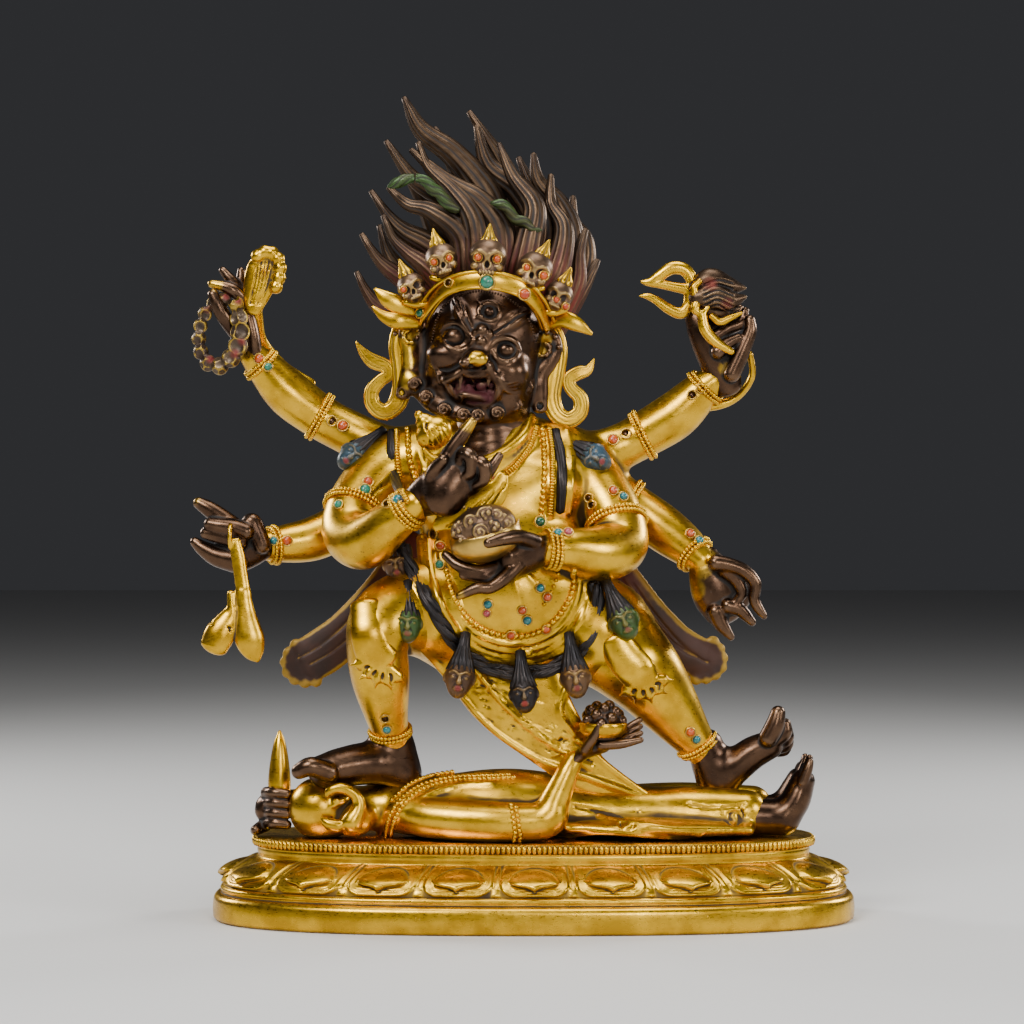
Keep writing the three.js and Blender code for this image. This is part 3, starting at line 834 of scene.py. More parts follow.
def grain() -> bpy.types.NodeTree:
    """Returns the group that makes brush marks, mottling and casting pits."""

    def wire(w: Wiring, given: dict[str, bpy.types.NodeSocket]) -> dict[str, bpy.types.NodeSocket]:
        """Wires noise and cells into marks."""
        stretched = w.out("ShaderNodeMapping", {"Vector": given["Place"], "Scale": (0.6, 0.6, 1.5)})
        streak = w.noise(stretched, given["Scale"], 3.0)
        mottle = w.noise(given["Place"], w.maths("MULTIPLY", given["Scale"], 0.12), 5.0)
        cells = w.node(
            "ShaderNodeTexVoronoi",
            inputs={"Vector": given["Place"], "Scale": w.maths("MULTIPLY", given["Scale"], 0.35)},
        ).outputs["Distance"]
        patch = w.ramp(w.noise(given["Place"], w.maths("MULTIPLY", given["Scale"], 0.06), 2.0), 0.5, 0.68)
        spot = w.maths("SUBTRACT", 1.0, w.ramp(cells, 0.06, 0.16))
        pits = w.maths("MULTIPLY", spot, patch)
        height = w.maths("SUBTRACT", w.maths("MULTIPLY", streak, 0.2), w.maths("MULTIPLY", pits, 1.6))
        return {"Streak": streak, "Mottle": mottle, "Pits": pits, "Height": height}

    return effect("grain", {"Scale": 900}, ["Streak", "Mottle", "Pits", "Height"], wire)


@dataclass(frozen=True)
class Finish:
    """A surface with grain, whose material is made once."""

    grain_scale: ClassVar[float]
    bump: ClassVar[float]
    name: str

    def surface(
        self, w: Wiring, place: bpy.types.NodeSocket, marks: bpy.types.bpy_prop_collection
    ) -> dict[str, Setting]:
        """Wires the surface's own look.

        Args:
            w: wiring of the material's tree.
            place: the place on the object.
            marks: outputs of the grain.

        Returns:
            Inputs of the Principled shader, apart from its normal.
        """
        raise NotImplementedError

    def material(self) -> bpy.types.Material:
        """Makes the material, or returns the one already made."""
        if self.name in bpy.data.materials:
            return bpy.data.materials[self.name]
        made = bpy.data.materials.new(self.name)
        made.use_nodes = True
        made.node_tree.nodes.clear()
        w = Wiring(made.node_tree)
        place = w.node("ShaderNodeTexCoord").outputs["Object"]
        marks = w.group(grain(), {"Place": place, "Scale": self.grain_scale}).outputs
        look = self.surface(w, place, marks)
        rough = {"Height": marks["Height"], "Strength": self.bump, "Distance": BUMP_DEPTH}
        look["Normal"] = w.out("ShaderNodeBump", rough)
        shader = w.out("ShaderNodeBsdfPrincipled", look)
        w.node("ShaderNodeOutputMaterial", inputs={"Surface": shader})
        return made


@dataclass(frozen=True)
class MetalFinish(Finish):
    """A worn cast metal surface, with grime and painted shade darkening its recesses and gold on what is
    rubbed.
    """

    grain_scale: ClassVar[float] = 900.0
    bump: ClassVar[float] = 0.24
    spread: ClassVar[float] = 0.16
    settled: ClassVar[float] = 0.18
    filled: ClassVar[float] = 0.62
    gold: ClassVar[Colour] = (0.62, 0.37, 0.03)
    grime_rough: ClassVar[float] = 0.72
    grime_metal: ClassVar[float] = 0.25
    metal: Colour
    deep: Colour
    # Colour of recesses: grime, with painted shade.
    grime_and_shade_colour: Colour
    rough: float
    wear: float = 0.0
    edge: Colour = (0.86, 0.55, 0.17)
    pigment: Colour = (0.22, 0.022, 0.012)
    metallic: float = 1.0

    def surface(
        self, w: Wiring, place: bpy.types.NodeSocket, marks: bpy.types.bpy_prop_collection
    ) -> dict[str, Setting]:
        """Wires metal, worn ridges, rubbed gold, grime with painted shade in the recesses, and pigment, one
        over the other.

        Args:
            w: wiring of the material's tree.
            place: the place on the object.
            marks: outputs of the grain.

        Returns:
            Inputs of the Principled shader, apart from its normal.
        """
        mottle, hollow, rubbed = marks["Mottle"], w.value("hollow"), w.value("rub")
        settled = {"Place": place, "Hollow": hollow, "From": self.settled, "To": self.filled}
        grime_and_shade = w.group(patina(), settled).outputs["Mask"]
        worn = w.group(edge_wear(), {"Place": place, "Hollow": hollow}).outputs["Mask"]
        colour = w.mix(w.ramp(mottle, 0.35, 0.68), (*self.metal, 1), (*self.deep, 1))
        colour = w.mix(w.maths("MULTIPLY", worn, self.wear), colour, (*self.edge, 1))
        patchy = w.ramp(w.maths("ADD", rubbed, w.maths("MULTIPLY", mottle, 0.6)), 0.55, 0.95)
        bare = w.maths("MULTIPLY", patchy, w.ramp(rubbed, 0.02, 0.3))
        colour = w.mix(bare, colour, (*self.gold, 1))
        grime_pits_and_shade = w.maths("MAXIMUM", grime_and_shade, w.maths("MULTIPLY", marks["Pits"], 0.65))
        grime_pits_and_shade = w.maths("MULTIPLY", grime_pits_and_shade, w.maths("SUBTRACT", 1.0, w.maths("MULTIPLY", bare, 0.7)))
        # Recesses take the grime colour, partly grime and partly painted shade; casting pits darken too.
        colour = w.mix(grime_pits_and_shade, colour, (*self.grime_and_shade_colour, 1))
        red = w.maths("MULTIPLY", w.value("red"), w.ramp(mottle, 0.25, 0.5))
        covered = w.maths("MAXIMUM", grime_pits_and_shade, red)
        rough = w.between(marks["Streak"], self.rough - self.spread / 2, self.rough + self.spread)
        return {
            "Base Color": w.mix(red, colour, (*self.pigment, 1)),
            "Roughness": w.between(covered, rough, self.grime_rough),
            "Metallic": w.between(covered, self.metallic, self.grime_metal),
        }


@dataclass(frozen=True)
class StoneFinish(Finish):
    """A polished cabochon with clouding and veins."""

    grain_scale: ClassVar[float] = 1500.0
    bump: ClassVar[float] = 0.1
    cloud_scale: ClassVar[float] = 700.0
    colour: Colour
    vein: Colour
    rough: float

    def surface(
        self, w: Wiring, place: bpy.types.NodeSocket, marks: bpy.types.bpy_prop_collection
    ) -> dict[str, Setting]:
        """Wires the stone's clouds.

        Args:
            w: wiring of the material's tree.
            place: the place on the object.
            marks: outputs of the grain, which only its bump uses.

        Returns:
            Inputs of the Principled shader, apart from its normal.
        """
        cloud = w.ramp(w.noise(place, self.cloud_scale, 5.0), 0.42, 0.7)
        return {
            "Base Color": w.mix(cloud, (*self.colour, 1), (*self.vein, 1)),
            "Roughness": w.between(cloud, self.rough, self.rough + 0.15),
            "Coat Weight": 0.5,
            "Coat Roughness": 0.12,
        }


GILT = MetalFinish("gilt", (0.78, 0.455, 0.018), (0.53, 0.285, 0.010), (0.045, 0.024, 0.006), 0.27)
BASE_GILT = MetalFinish("base_gilt", (0.74, 0.435, 0.020), (0.50, 0.275, 0.012), (0.06, 0.032, 0.008), 0.26)
BRONZE = MetalFinish(
    "bare_bronze", (0.10, 0.055, 0.032), (0.05, 0.028, 0.018), (0.012, 0.008, 0.006), 0.27, wear=0.5,
    edge=(0.20, 0.12, 0.07), pigment=(0.06, 0.006, 0.008),
)
HAIR = MetalFinish(
    "hair_bronze", (0.10, 0.062, 0.036), (0.055, 0.034, 0.022), (0.012, 0.008, 0.007), 0.36, wear=0.5,
    edge=(0.24, 0.155, 0.085),
)
DARK_HAIR = MetalFinish(
    "dark_hair", (0.05, 0.042, 0.040), (0.028, 0.026, 0.028), (0.008, 0.007, 0.007), 0.4, wear=0.35,
    edge=(0.30, 0.19, 0.08),
)
OFFERING = MetalFinish(
    "offering", (0.17, 0.10, 0.055), (0.10, 0.058, 0.034), (0.02, 0.011, 0.008), 0.36, wear=0.6,
    edge=(0.46, 0.30, 0.10), metallic=0.85,
)
HIDE = MetalFinish(
    "hide_lining", (0.045, 0.015, 0.008), (0.022, 0.009, 0.005), (0.20, 0.11, 0.012), 0.46, wear=0.7,
    edge=(0.46, 0.27, 0.02), metallic=0.35, pigment=(0.10, 0.007, 0.005),
)
WORN_GILT = MetalFinish(
    "worn_gilt", (0.66, 0.42, 0.085), (0.36, 0.22, 0.055), (0.04, 0.022, 0.01), 0.3, wear=0.2
)
BLUE_PAINT = MetalFinish(
    "blue_paint", (0.035, 0.075, 0.11), (0.02, 0.035, 0.035), (0.015, 0.012, 0.01), 0.34, wear=0.3,
    edge=(0.34, 0.22, 0.07), metallic=0.25, pigment=(0.20, 0.03, 0.03),
)
GREEN_PAINT = MetalFinish(
    "green_paint", (0.035, 0.075, 0.014), (0.045, 0.04, 0.01), (0.012, 0.010, 0.006), 0.34, wear=0.3,
    edge=(0.36, 0.25, 0.06), metallic=0.35, pigment=(0.18, 0.03, 0.02),
)
BROWN_PAINT = MetalFinish(
    "brown_paint", (0.14, 0.075, 0.035), (0.07, 0.038, 0.022), (0.018, 0.010, 0.008), 0.34, wear=0.4,
    edge=(0.42, 0.26, 0.08), metallic=0.7, pigment=(0.18, 0.025, 0.02),
)
BONE = MetalFinish(
    "rosary_bronze", (0.11, 0.075, 0.045), (0.06, 0.038, 0.028), (0.014, 0.009, 0.007), 0.34, wear=0.75,
    edge=(0.46, 0.29, 0.03), metallic=0.7, pigment=(0.17, 0.02, 0.016),
)
CORAL = StoneFinish("coral_stone", (0.50, 0.075, 0.0), (0.36, 0.025, 0.0), 0.3)
TURQUOISE = StoneFinish("turquoise_stone", (0.015, 0.20, 0.115), (0.01, 0.10, 0.06), 0.3)
GREEN_GLASS = StoneFinish("green_glass", (0.005, 0.11, 0.045), (0.003, 0.05, 0.03), 0.15)
BLUE_GLASS = StoneFinish("blue_glass", (0.01, 0.16, 0.17), (0.008, 0.08, 0.08), 0.2)
ROSE_GLASS = StoneFinish("rose_glass", (0.40, 0.06, 0.07), (0.25, 0.03, 0.04), 0.2)
STONE_FINISHES = {
    Stone.CORAL: CORAL,
    Stone.TURQUOISE: TURQUOISE,
    Stone.GREEN: GREEN_GLASS,
    Stone.BLUE: BLUE_GLASS,
    Stone.ROSE: ROSE_GLASS,
}


def settle(made: bpy.types.Object, node: Node = Node.FIGURE) -> None:
    """Fixes a piece to the figure in place of a solid.

    Args:
        made: the piece.
        node: the solid that it stands for.
    """
    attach(made, "root")
    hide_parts(node.value)


def cast(
    shape: Shape, name: str, finish: Finish, node: Node = Node.FIGURE
) -> None:
    """Makes a piece of a shape and fixes it.

    Args:
        shape: the shape.
        name: the piece's name.
        finish: what it is made of.
        node: the solid that it stands for.
    """
    settle(shape.object(name, finish.material()), node)


def upward(lean: float) -> Array:
    """Returns the way up of something that leans to the viewer's right by some degrees."""
    tilt = math.radians(lean)
    return np.array((math.sin(tilt), 0.0, math.cos(tilt)))


def head_map(middle: Array, radius: float, lean: float) -> Callable[[float, float, float], Array]:
    """Makes a map of a head or a skull.

    Args:
        middle: its centre.
        radius: its half width.
        lean: degrees by which its top leans to the viewer's right.

    Returns:
        A function that finds a place from how far right, forward and up it is, in shares of the radius.
    """
    tilt = math.radians(lean)

    def spot(right: float, front: float, up: float) -> Array:
        """Returns a place on the head."""
        across = right * math.cos(tilt) + up * math.sin(tilt)
        rise = -right * math.sin(tilt) + up * math.cos(tilt)
        return middle + np.array((across, -front, rise)) * radius

    return spot


def count_triangles(made: bpy.types.Object) -> int:
    """Returns how many triangles a piece has."""
    return sum(len(polygon.vertices) - 2 for polygon in made.data.polygons)


class BeadString:
    """Rows of beads along lines, laid by geometry nodes."""

    group_name = "bead_string"

    @classmethod
    def group(cls) -> bpy.types.NodeTree:
        """Makes the node tree, or returns the one already made."""
        if cls.group_name in bpy.data.node_groups:
            return bpy.data.node_groups[cls.group_name]
        tree = bpy.data.node_groups.new(cls.group_name, "GeometryNodeTree")
        face = tree.interface
        face.new_socket("Lines", in_out="INPUT", socket_type="NodeSocketGeometry")
        for name, value in (("Spacing", 0.002), ("Radius", 0.001), ("Length", 1.0), ("Unevenness", 0.06)):
            face.new_socket(name, in_out="INPUT", socket_type="NodeSocketFloat").default_value = value
        face.new_socket("Seed", in_out="INPUT", socket_type="NodeSocketInt").default_value = SEED
        face.new_socket("Material", in_out="INPUT", socket_type="NodeSocketMaterial")
        face.new_socket("Beads", in_out="OUTPUT", socket_type="NodeSocketGeometry")
        w = Wiring(tree)
        given = w.node("NodeGroupInput").outputs
        curve = w.out("GeometryNodeMeshToCurve", {"Mesh": given["Lines"]})
        along = {"Curve": curve, "Length": given["Spacing"]}
        spaced = w.out("GeometryNodeResampleCurve", along, {"mode": "LENGTH"})
        ahead = w.out("GeometryNodeInputTangent", {})
        turned = w.out("FunctionNodeAlignRotationToVector", {"Vector": ahead}, {"axis": "Z"})
        chance = w.node(
            "FunctionNodeRandomValue", {"data_type": "FLOAT"}, {"Seed": given["Seed"], 2: 0.0, 3: 1.0}
        ).outputs[1]
        uneven = w.maths("ADD", w.maths("MULTIPLY", chance, given["Unevenness"]), 1.0)
        size = w.out("GeometryNodeInputNamedAttribute", {"Name": "size"}, {"data_type": "FLOAT"})
        radius = w.maths("MULTIPLY", w.maths("MULTIPLY", given["Radius"], uneven), size)
        length = w.maths("MULTIPLY", radius, given["Length"])
        scale = w.out("ShaderNodeCombineXYZ", {0: radius, 1: radius, 2: length})
        bead = w.out("GeometryNodeMeshUVSphere", {"Segments": 8, "Rings": 5, "Radius": 1.0})
        strung = {"Points": spaced, "Instance": bead, "Rotation": turned, "Scale": scale}
        placed = w.out("GeometryNodeInstanceOnPoints", strung)
        real = w.out("GeometryNodeRealizeInstances", {"Geometry": placed})
        smooth = w.out("GeometryNodeSetShadeSmooth", {"Geometry": real})
        dressed = w.out("GeometryNodeSetMaterial", {"Geometry": smooth, "Material": given["Material"]})
        w.node("NodeGroupOutput", inputs={"Beads": dressed})
        return tree

    @classmethod
    def object(
        cls,
        name: str,
        lines: Sequence[Array],
        spacing: float,
        radius: float,
        finish: Finish,
        length: float = 1.0,
        closed: bool = False,
    ) -> bpy.types.Object:
        """Lays beads along lines.

        Args:
            name: the object's name.
            lines: points in pose millimetres, with a fourth column that scales the beads.
            spacing: distance from bead to bead.
            radius: a bead's radius.
            finish: what the beads are made of.
            length: a bead's length along its line, as a share of its width.
            closed: whether each line closes on itself.

        Returns:
            A plain mesh object.
        """
        points = np.vstack([line[:, :3] for line in lines])
        edges = []
        start = 0
        for line in lines:
            edges += [(start + i, start + i + 1) for i in range(len(line) - 1)]
            if closed:
                edges.append((start + len(line) - 1, start))
            start += len(line)
        mesh = bpy.data.meshes.new(name + "_lines")
        mesh.from_pydata(((points + (0, 0, LIFT)) * METRES).tolist(), edges, [])
        size = mesh.attributes.new("size", "FLOAT", "POINT")
        sizes = np.concatenate([line[:, 3] if line.shape[1] > 3 else np.ones(len(line)) for line in lines])
        size.data.foreach_set("value", sizes.astype(np.float32))
        holder = linked(name + "_lines", mesh)
        modifier = holder.modifiers.new("beads", "NODES")
        tree = cls.group()
        modifier.node_group = tree
        sockets = {item.name: item.identifier for item in tree.interface.items_tree if item.in_out == "INPUT"}
        modifier[sockets["Spacing"]] = spacing * METRES
        modifier[sockets["Radius"]] = radius * METRES
        modifier[sockets["Length"]] = length
        modifier[sockets["Seed"]] = SEED
        modifier[sockets["Material"]] = finish.material()
        plain = baked(holder)
        plain.name = name
        bpy.data.objects.remove(holder)
        if not plain.materials:
            plain.materials.append(finish.material())
        return linked(name, plain)


@dataclass
class LotusBase:
    """The oval base: foot band, fillet, one row of petals, neck and beaded rim."""

    length: float = 255.6
    depth: float = 118.0
    foot: float = 10.8
    fillet: float = 3.4
    petal_band: float = 10.8
    neck: float = 4.2
    rim: float = 3.8
    fillet_inset: float = 3.5
    neck_inset: float = 18.0
    rim_inset: float = 15.6
    petals: int = 20
    petal_width: float = 29.7
    petal_rise: float = 14.0
    plate_half: float = 14.3
    plate_corner: float = 7.5
    plate_height: float = 1.5
    line_places: tuple[float, float] = (1.9, 3.0)
    line_depth: float = 0.28
    boss_half: float = 9.6
    boss_middle: float = 7.6
    boss_height: float = 3.9
    tip_height: float = 0.9
    columns_a_petal: int = 44
    power: float = 2.6
    bead_spacing: float = 2.0
    bead_radius: float = 0.93
    bead_height: float = 1.9

    def outline(self, inset: Union[float, Array], turns: Array) -> Array:
        """Finds points of the oval.

        Args:
            inset: how far inside the foot's outline.
            turns: places around it, in turns.

        Returns:
            x and y of each.
        """
        angle = turns * 2 * math.pi
        c, s = np.cos(angle), np.sin(angle)
        x = (self.length / 2 - inset) * np.sign(c) * np.abs(c) ** (2 / self.power)
        y = (self.depth / 2 - inset) * np.sign(s) * np.abs(s) ** (2 / self.power)
        return np.stack([x, y], -1)

    def even_turns(self, count: int) -> Array:
        """Returns turns that are evenly spaced along the oval's girth, with a petal's middle in front."""
        fine = np.linspace(-0.25, 0.75, 8001)
        line = self.outline(self.neck_inset / 2, fine)
        girth = np.concatenate([[0], np.cumsum(np.linalg.norm(np.diff(line, axis=0), axis=1))])
        return np.interp(np.arange(count) / count * girth[-1], girth, fine)

    def relief(self, share: Array, rise: float) -> tuple[Array, Array]:
        """Works out how far the petals stand out.

        Args:
            share: place across a petal, from -0.5 to 0.5.
            rise: place up the petal band, from 0 to 1.

        Returns:
            The height in millimetres and the hollow value.
        """
        across, up = share * self.petal_width, rise * self.petal_rise
        wide = self.plate_half - 1.2 * (up / self.petal_rise) ** 2
        corner = self.plate_corner
        qx, qz = np.abs(across) - wide + corner, corner - up
        edge = np.hypot(np.maximum(qx, 0), max(qz, 0)) + np.minimum(np.maximum(qx, qz), 0) - corner + 0.4
        plate = np.clip(0.3 - edge, 0, 1)
        height = self.plate_height * plate * plate * (3 - 2 * plate)
        lines = sum(np.exp(-(((edge + at) / 0.33) ** 2)) for at in self.line_places)
        height -= self.line_depth * lines * plate
        span = np.clip(1 - (across / self.boss_half) ** 2, 0, 1)
        middle = self.boss_middle
        crest = 5.0 * span**0.55
        keel = 2.7 * span**0.5 + 2.3 * np.exp(-np.abs(across) / 1.6)
        reach = np.where(up > middle, crest, keel)
        inside = np.clip(1 - np.abs(up - middle) / np.maximum(reach, 0.01), 0, 1) * (span > 0)
        dome = np.sqrt(np.clip(1 - (1 - inside) ** 2, 0, 1)) * span**0.3
        height += self.boss_height * dome
        border = np.exp(-(((np.abs(up - middle) - reach - 0.5) / 0.6) ** 2)) * (span > 0)
        groove = np.exp(-((inside - 0.12) / 0.05) ** 2)
        height -= 0.25 * groove + 0.3 * border
        side = (0.5 - np.abs(share)) * self.petal_width
        tip = np.clip(1 - side / (0.6 + 1.8 * (1 - rise)), 0, 1) * (edge > -0.6)
        height += self.tip_height * tip
        gap = np.clip(edge / 0.8 + 0.7, 0, 1) * (1 - tip)
        height *= min(1.0, up / 0.8) * min(1.0, (self.petal_rise - up) / 0.9)
        grime_and_shade_offset = 0.1
        # Incised lines, gaps and the boss border darken with grime and painted shade.
        hollow = 0.45 * lines * plate + 0.6 * gap + 0.7 * border + 0.5 * groove - 0.3 * dome
        return height, hollow - grime_and_shade_offset

    def shape(self) -> Shape:
        """Builds the casting as one closed skin."""
        columns = self.petals * self.columns_a_petal
        turns = self.even_turns(columns)
        share = (np.arange(columns) / self.columns_a_petal + 0.5) % 1 - 0.5
        low = self.foot + self.fillet
        high = low + self.petal_band
        top = high + self.neck + self.rim
        # The last column of a row darkens the joints between the bands with grime and painted shade.
        rows: list[tuple[float, float, Optional[float], float]] = []
        for t in np.linspace(0, 1, 4):
            rows.append((1.6 * t, 1.6 * (1 - math.sin(t * math.pi / 2)) + 0.25, None, 0))
        for t in np.linspace(0.15, 1, 5):
            rows.append((1.6 + (self.foot - 4.4) * t, 0.25 - 0.25 * math.sin(t * math.pi), None, 0))
        for t in np.linspace(0.2, 1, 5):
            turn = t * math.pi / 2
            rows.append((self.foot - 2.8 + 2.8 * math.sin(turn), 0.25 + 2.6 * (1 - math.cos(turn)), None, 0))
        rows.append((self.foot, self.fillet_inset, None, 0.9))
        rows.append((self.foot + 0.5, self.fillet_inset + 0.1, None, 0.5))
        for t in np.linspace(0, 1, 5):
            bulge = 0.8 * math.sin(t * math.pi)
            rows.append((self.foot + 0.6 + (self.fillet - 1.0) * t, self.fillet_inset - bulge + 0.2, None, 0))
        rows.append((low - 0.2, self.fillet_inset + 1.2, None, 0.8))
        for t in np.linspace(0, 1, 46):
            bend = self.fillet_inset + 1.0 + (self.neck_inset - self.fillet_inset - 1.0) * t**1.9
            rows.append((low + self.petal_band * t, bend, float(t), 0))
        for t in np.linspace(0.1, 1, 5):
            rows.append((high + self.neck * t, self.neck_inset - 0.8 * math.sin(t * 3.1) ** 2 * t, None, 0.2))
        rows.append((high + self.neck + 0.1, self.rim_inset + 1.2, None, 0.6))
        rows.append((top - 0.5, self.rim_inset + 0.9, None, 0.5))
        rows.append((top, self.rim_inset + 1.6, None, 0.1))
        for inset in (22.0, 30.0, 42.0, 55.0):
            rows.append((top, inset, None, 0.1))
        rings, hollow = [], []
        for z, inset, rise, grime_and_shade in rows:
            out, depth = np.zeros(columns), np.full(columns, grime_and_shade)
            if rise is not None:
                out, depth = self.relief(share, rise)
            rings.append(np.column_stack([self.outline(inset - out, turns), np.full(columns, z - LIFT)]))
            hollow.append(depth)
        ends = ((0, 0, -LIFT), (0, 0, top - LIFT))
        return ringed(rings, ends, np.concatenate([*hollow, [0, 0.1]]))

    def build(self) -> None:
        """Builds the casting and its beads."""
        cast(self.shape(), "lotus", BASE_GILT, Node.BASE)
        xy = self.outline(self.rim_inset + 0.7, self.even_turns(1200))
        middle = -self.rim / 2
        line = np.column_stack([xy, np.full(len(xy), middle)])
        beads = BeadString.object(
            "rim_beads", [line], self.bead_spacing, self.bead_radius, BASE_GILT, closed=True
        )
        centre = (LIFT + middle) * METRES
        for vertex in beads.data.vertices:
            vertex.co.z = (vertex.co.z - centre) * self.bead_height + centre
        settle(beads, Node.BASE)


@dataclass
class GiltBody:
    """Trunk, arms and legs of the striding figure."""

    cell: float = 0.8
    back: float = 12.0
    arms: tuple[tuple[Station, ...], ...] = (
        ((-44, 6, 149, 11), (-60, 6, 154, 9.6), (-76, 8, 161.5, 9), (-86, 8, 167, 9), (-98, 6, 176, 9.4),
         (-107, 4, 185.5, 7.4), (-112, 2, 191, 5.6)),
        ((6, 6, 145, 11), (21, 6, 150, 10), (34, 8, 154.5, 9.2), (43, 8, 159, 9.2), (57, 6, 167.5, 9.6),
         (67, 4, 177, 7.6), (72, 2, 181, 5.6)),
        ((-42, 7, 140, 9.5), (-64, 8, 133, 9), (-76, 8, 124, 9), (-88, 4, 118, 8.8), (-99, 0, 116, 7.6),
         (-108, -4, 115, 5.6)),
        ((6, 6, 146, 9.5), (25, 8, 141, 9.4), (40, 8, 131, 9), (52, 4, 122, 9.4), (61, 0, 115, 8),
         (67, -4, 109.5, 5.8)),
        ((-44, 0, 149, 14), (-59, -2, 145, 12.6), (-70, -10, 132, 11.4), (-72.5, -18, 121, 11),
         (-66, -28, 117, 10.8), (-56, -37, 124, 8.6), (-46, -42, 132, 6.4)),
        ((10, 0, 149, 14), (21, -2, 143, 12.6), (31, -10, 129, 11.4), (34, -18, 116, 11),
         (25, -28, 112.5, 10.8), (14, -36, 114, 8.2), (4, -40, 114.5, 6.4)),
    )
    legs: tuple[tuple[Station, ...], ...] = (
        ((-20, 0, 80, 22), (-40, -14, 89, 19), (-57, -26, 87, 14.4), (-61, -30, 77, 12.2),
         (-60, -27, 64, 11.4), (-58, -22, 50, 8.6), (-56, -18, 40, 6.8), (-55, -16, 35, 6)),
        ((6, 0, 82, 22), (26, -8, 79, 20), (41, -12, 67, 16.4), (51, -10, 55, 13), (60, -8, 43, 9.4),
         (66, -6, 35, 6.8), (68, -5, 31, 5.6)),
    )

    def clay(self) -> Clay:
        """Models the body."""
        clay = Clay((-128, -58, 12), (94, 34, 206), self.cell)
        clay.tube([(-9, 4, 66, 20), (-9, 0, 84, 26)], soft=6)
        clay.ball((-9, -9, 98), (36.5, 27, 30), soft=4)
        clay.ball((-12, -3, 128), (33, 22, 28), soft=8)
        clay.ball((-15, 0, 152), (33, 16, 17), soft=8)
        clay.ball((-32, -14, 139), (16, 9, 13), soft=4)
        clay.ball((4, -14, 138), (16, 9, 13), soft=4)
        clay.tube([(-17, 0, 158, 15), (-18, 0, 166, 12)], soft=7)
        for stations in self.arms[:4]:
            clay.tube(stations, soft=5)
        for stations in self.legs:
            clay.tube(stations, soft=5)
        for knee in ((-60.5, -34, 82), (40, -22, 70)):
            clay.ball(knee, (8.5, 7.5, 8.5), soft=6)
        for side in (-1, 1):
            clay.ball((-17 + 29 * side, 1, 150), (14, 14, 13), soft=6)
        return clay

    def belt(self, clay: Clay) -> None:
        """Models the rolled belt under the belly, the collar and the cords of the shawl."""
        outer = [(423, 540), (426, 570), (434, 602), (450, 632), (474, 652), (506, 662), (540, 659),
                 (568, 645),
                 (586, 622), (594, 594), (592, 572)]
        for k, radius in enumerate((2.8, 1.9, 1.8, 1.5)):
            share = 1 - 0.062 * k
            marks = [(511 + (x - 511) * share, 560 + (y - 560) * share, radius) for x, y in outer]
            clay.tube(clay.trace(marks, -0.3), soft=0.5)
        for marks, radius in (
            ([(530, 418), (524, 434), (510, 448), (492, 458), (474, 464), (452, 462)], 2.6),
            ([(536, 428), (530, 446), (517, 464), (503, 476), (488, 486)], 1.5),
            ([(548, 430), (551, 452), (551, 484), (549, 516)], 1.5),
            ([(566, 432), (570, 452), (571, 484), (568, 512)], 1.5),
            ([(398, 430), (398, 456), (402, 486), (410, 505)], 1.5),
            ([(420, 428), (420, 450), (424, 470)], 1.4),
            ([(384, 440), (384, 470), (390, 500)], 1.4),
            ([(487, 577), (488, 590), (488, 600)], 0.9),
            ([(514, 580), (518, 594), (521, 606)], 0.9),
            ([(526, 573), (534, 582), (540, 589)], 0.9),
        ):
            clay.line(marks, radius, radius * 0.35, soft=0.8)
        clay.ball(clay.seen(525, 652, 0.2), (3.4, 1.4, 2.0), soft=0.5)

    def build(self) -> Clay:
        """Builds the body and returns its clay, which the jewels are laid on."""
        clay = self.clay()
        self.belt(clay)
        for stations in self.arms[4:]:
            clay.tube(stations, soft=3)
        shape = clay.shape(2.4)
        # The hollow value is weakened at the back: less grime and painted shade in recesses, less wear on
        # ridges.
        shape.values["hollow"] *= np.where(shape.points[:, 1] > self.back, BACK_GRIME_AND_SHADE, 1.0)
        cast(shape, "gilt_body", GILT)
        return clay


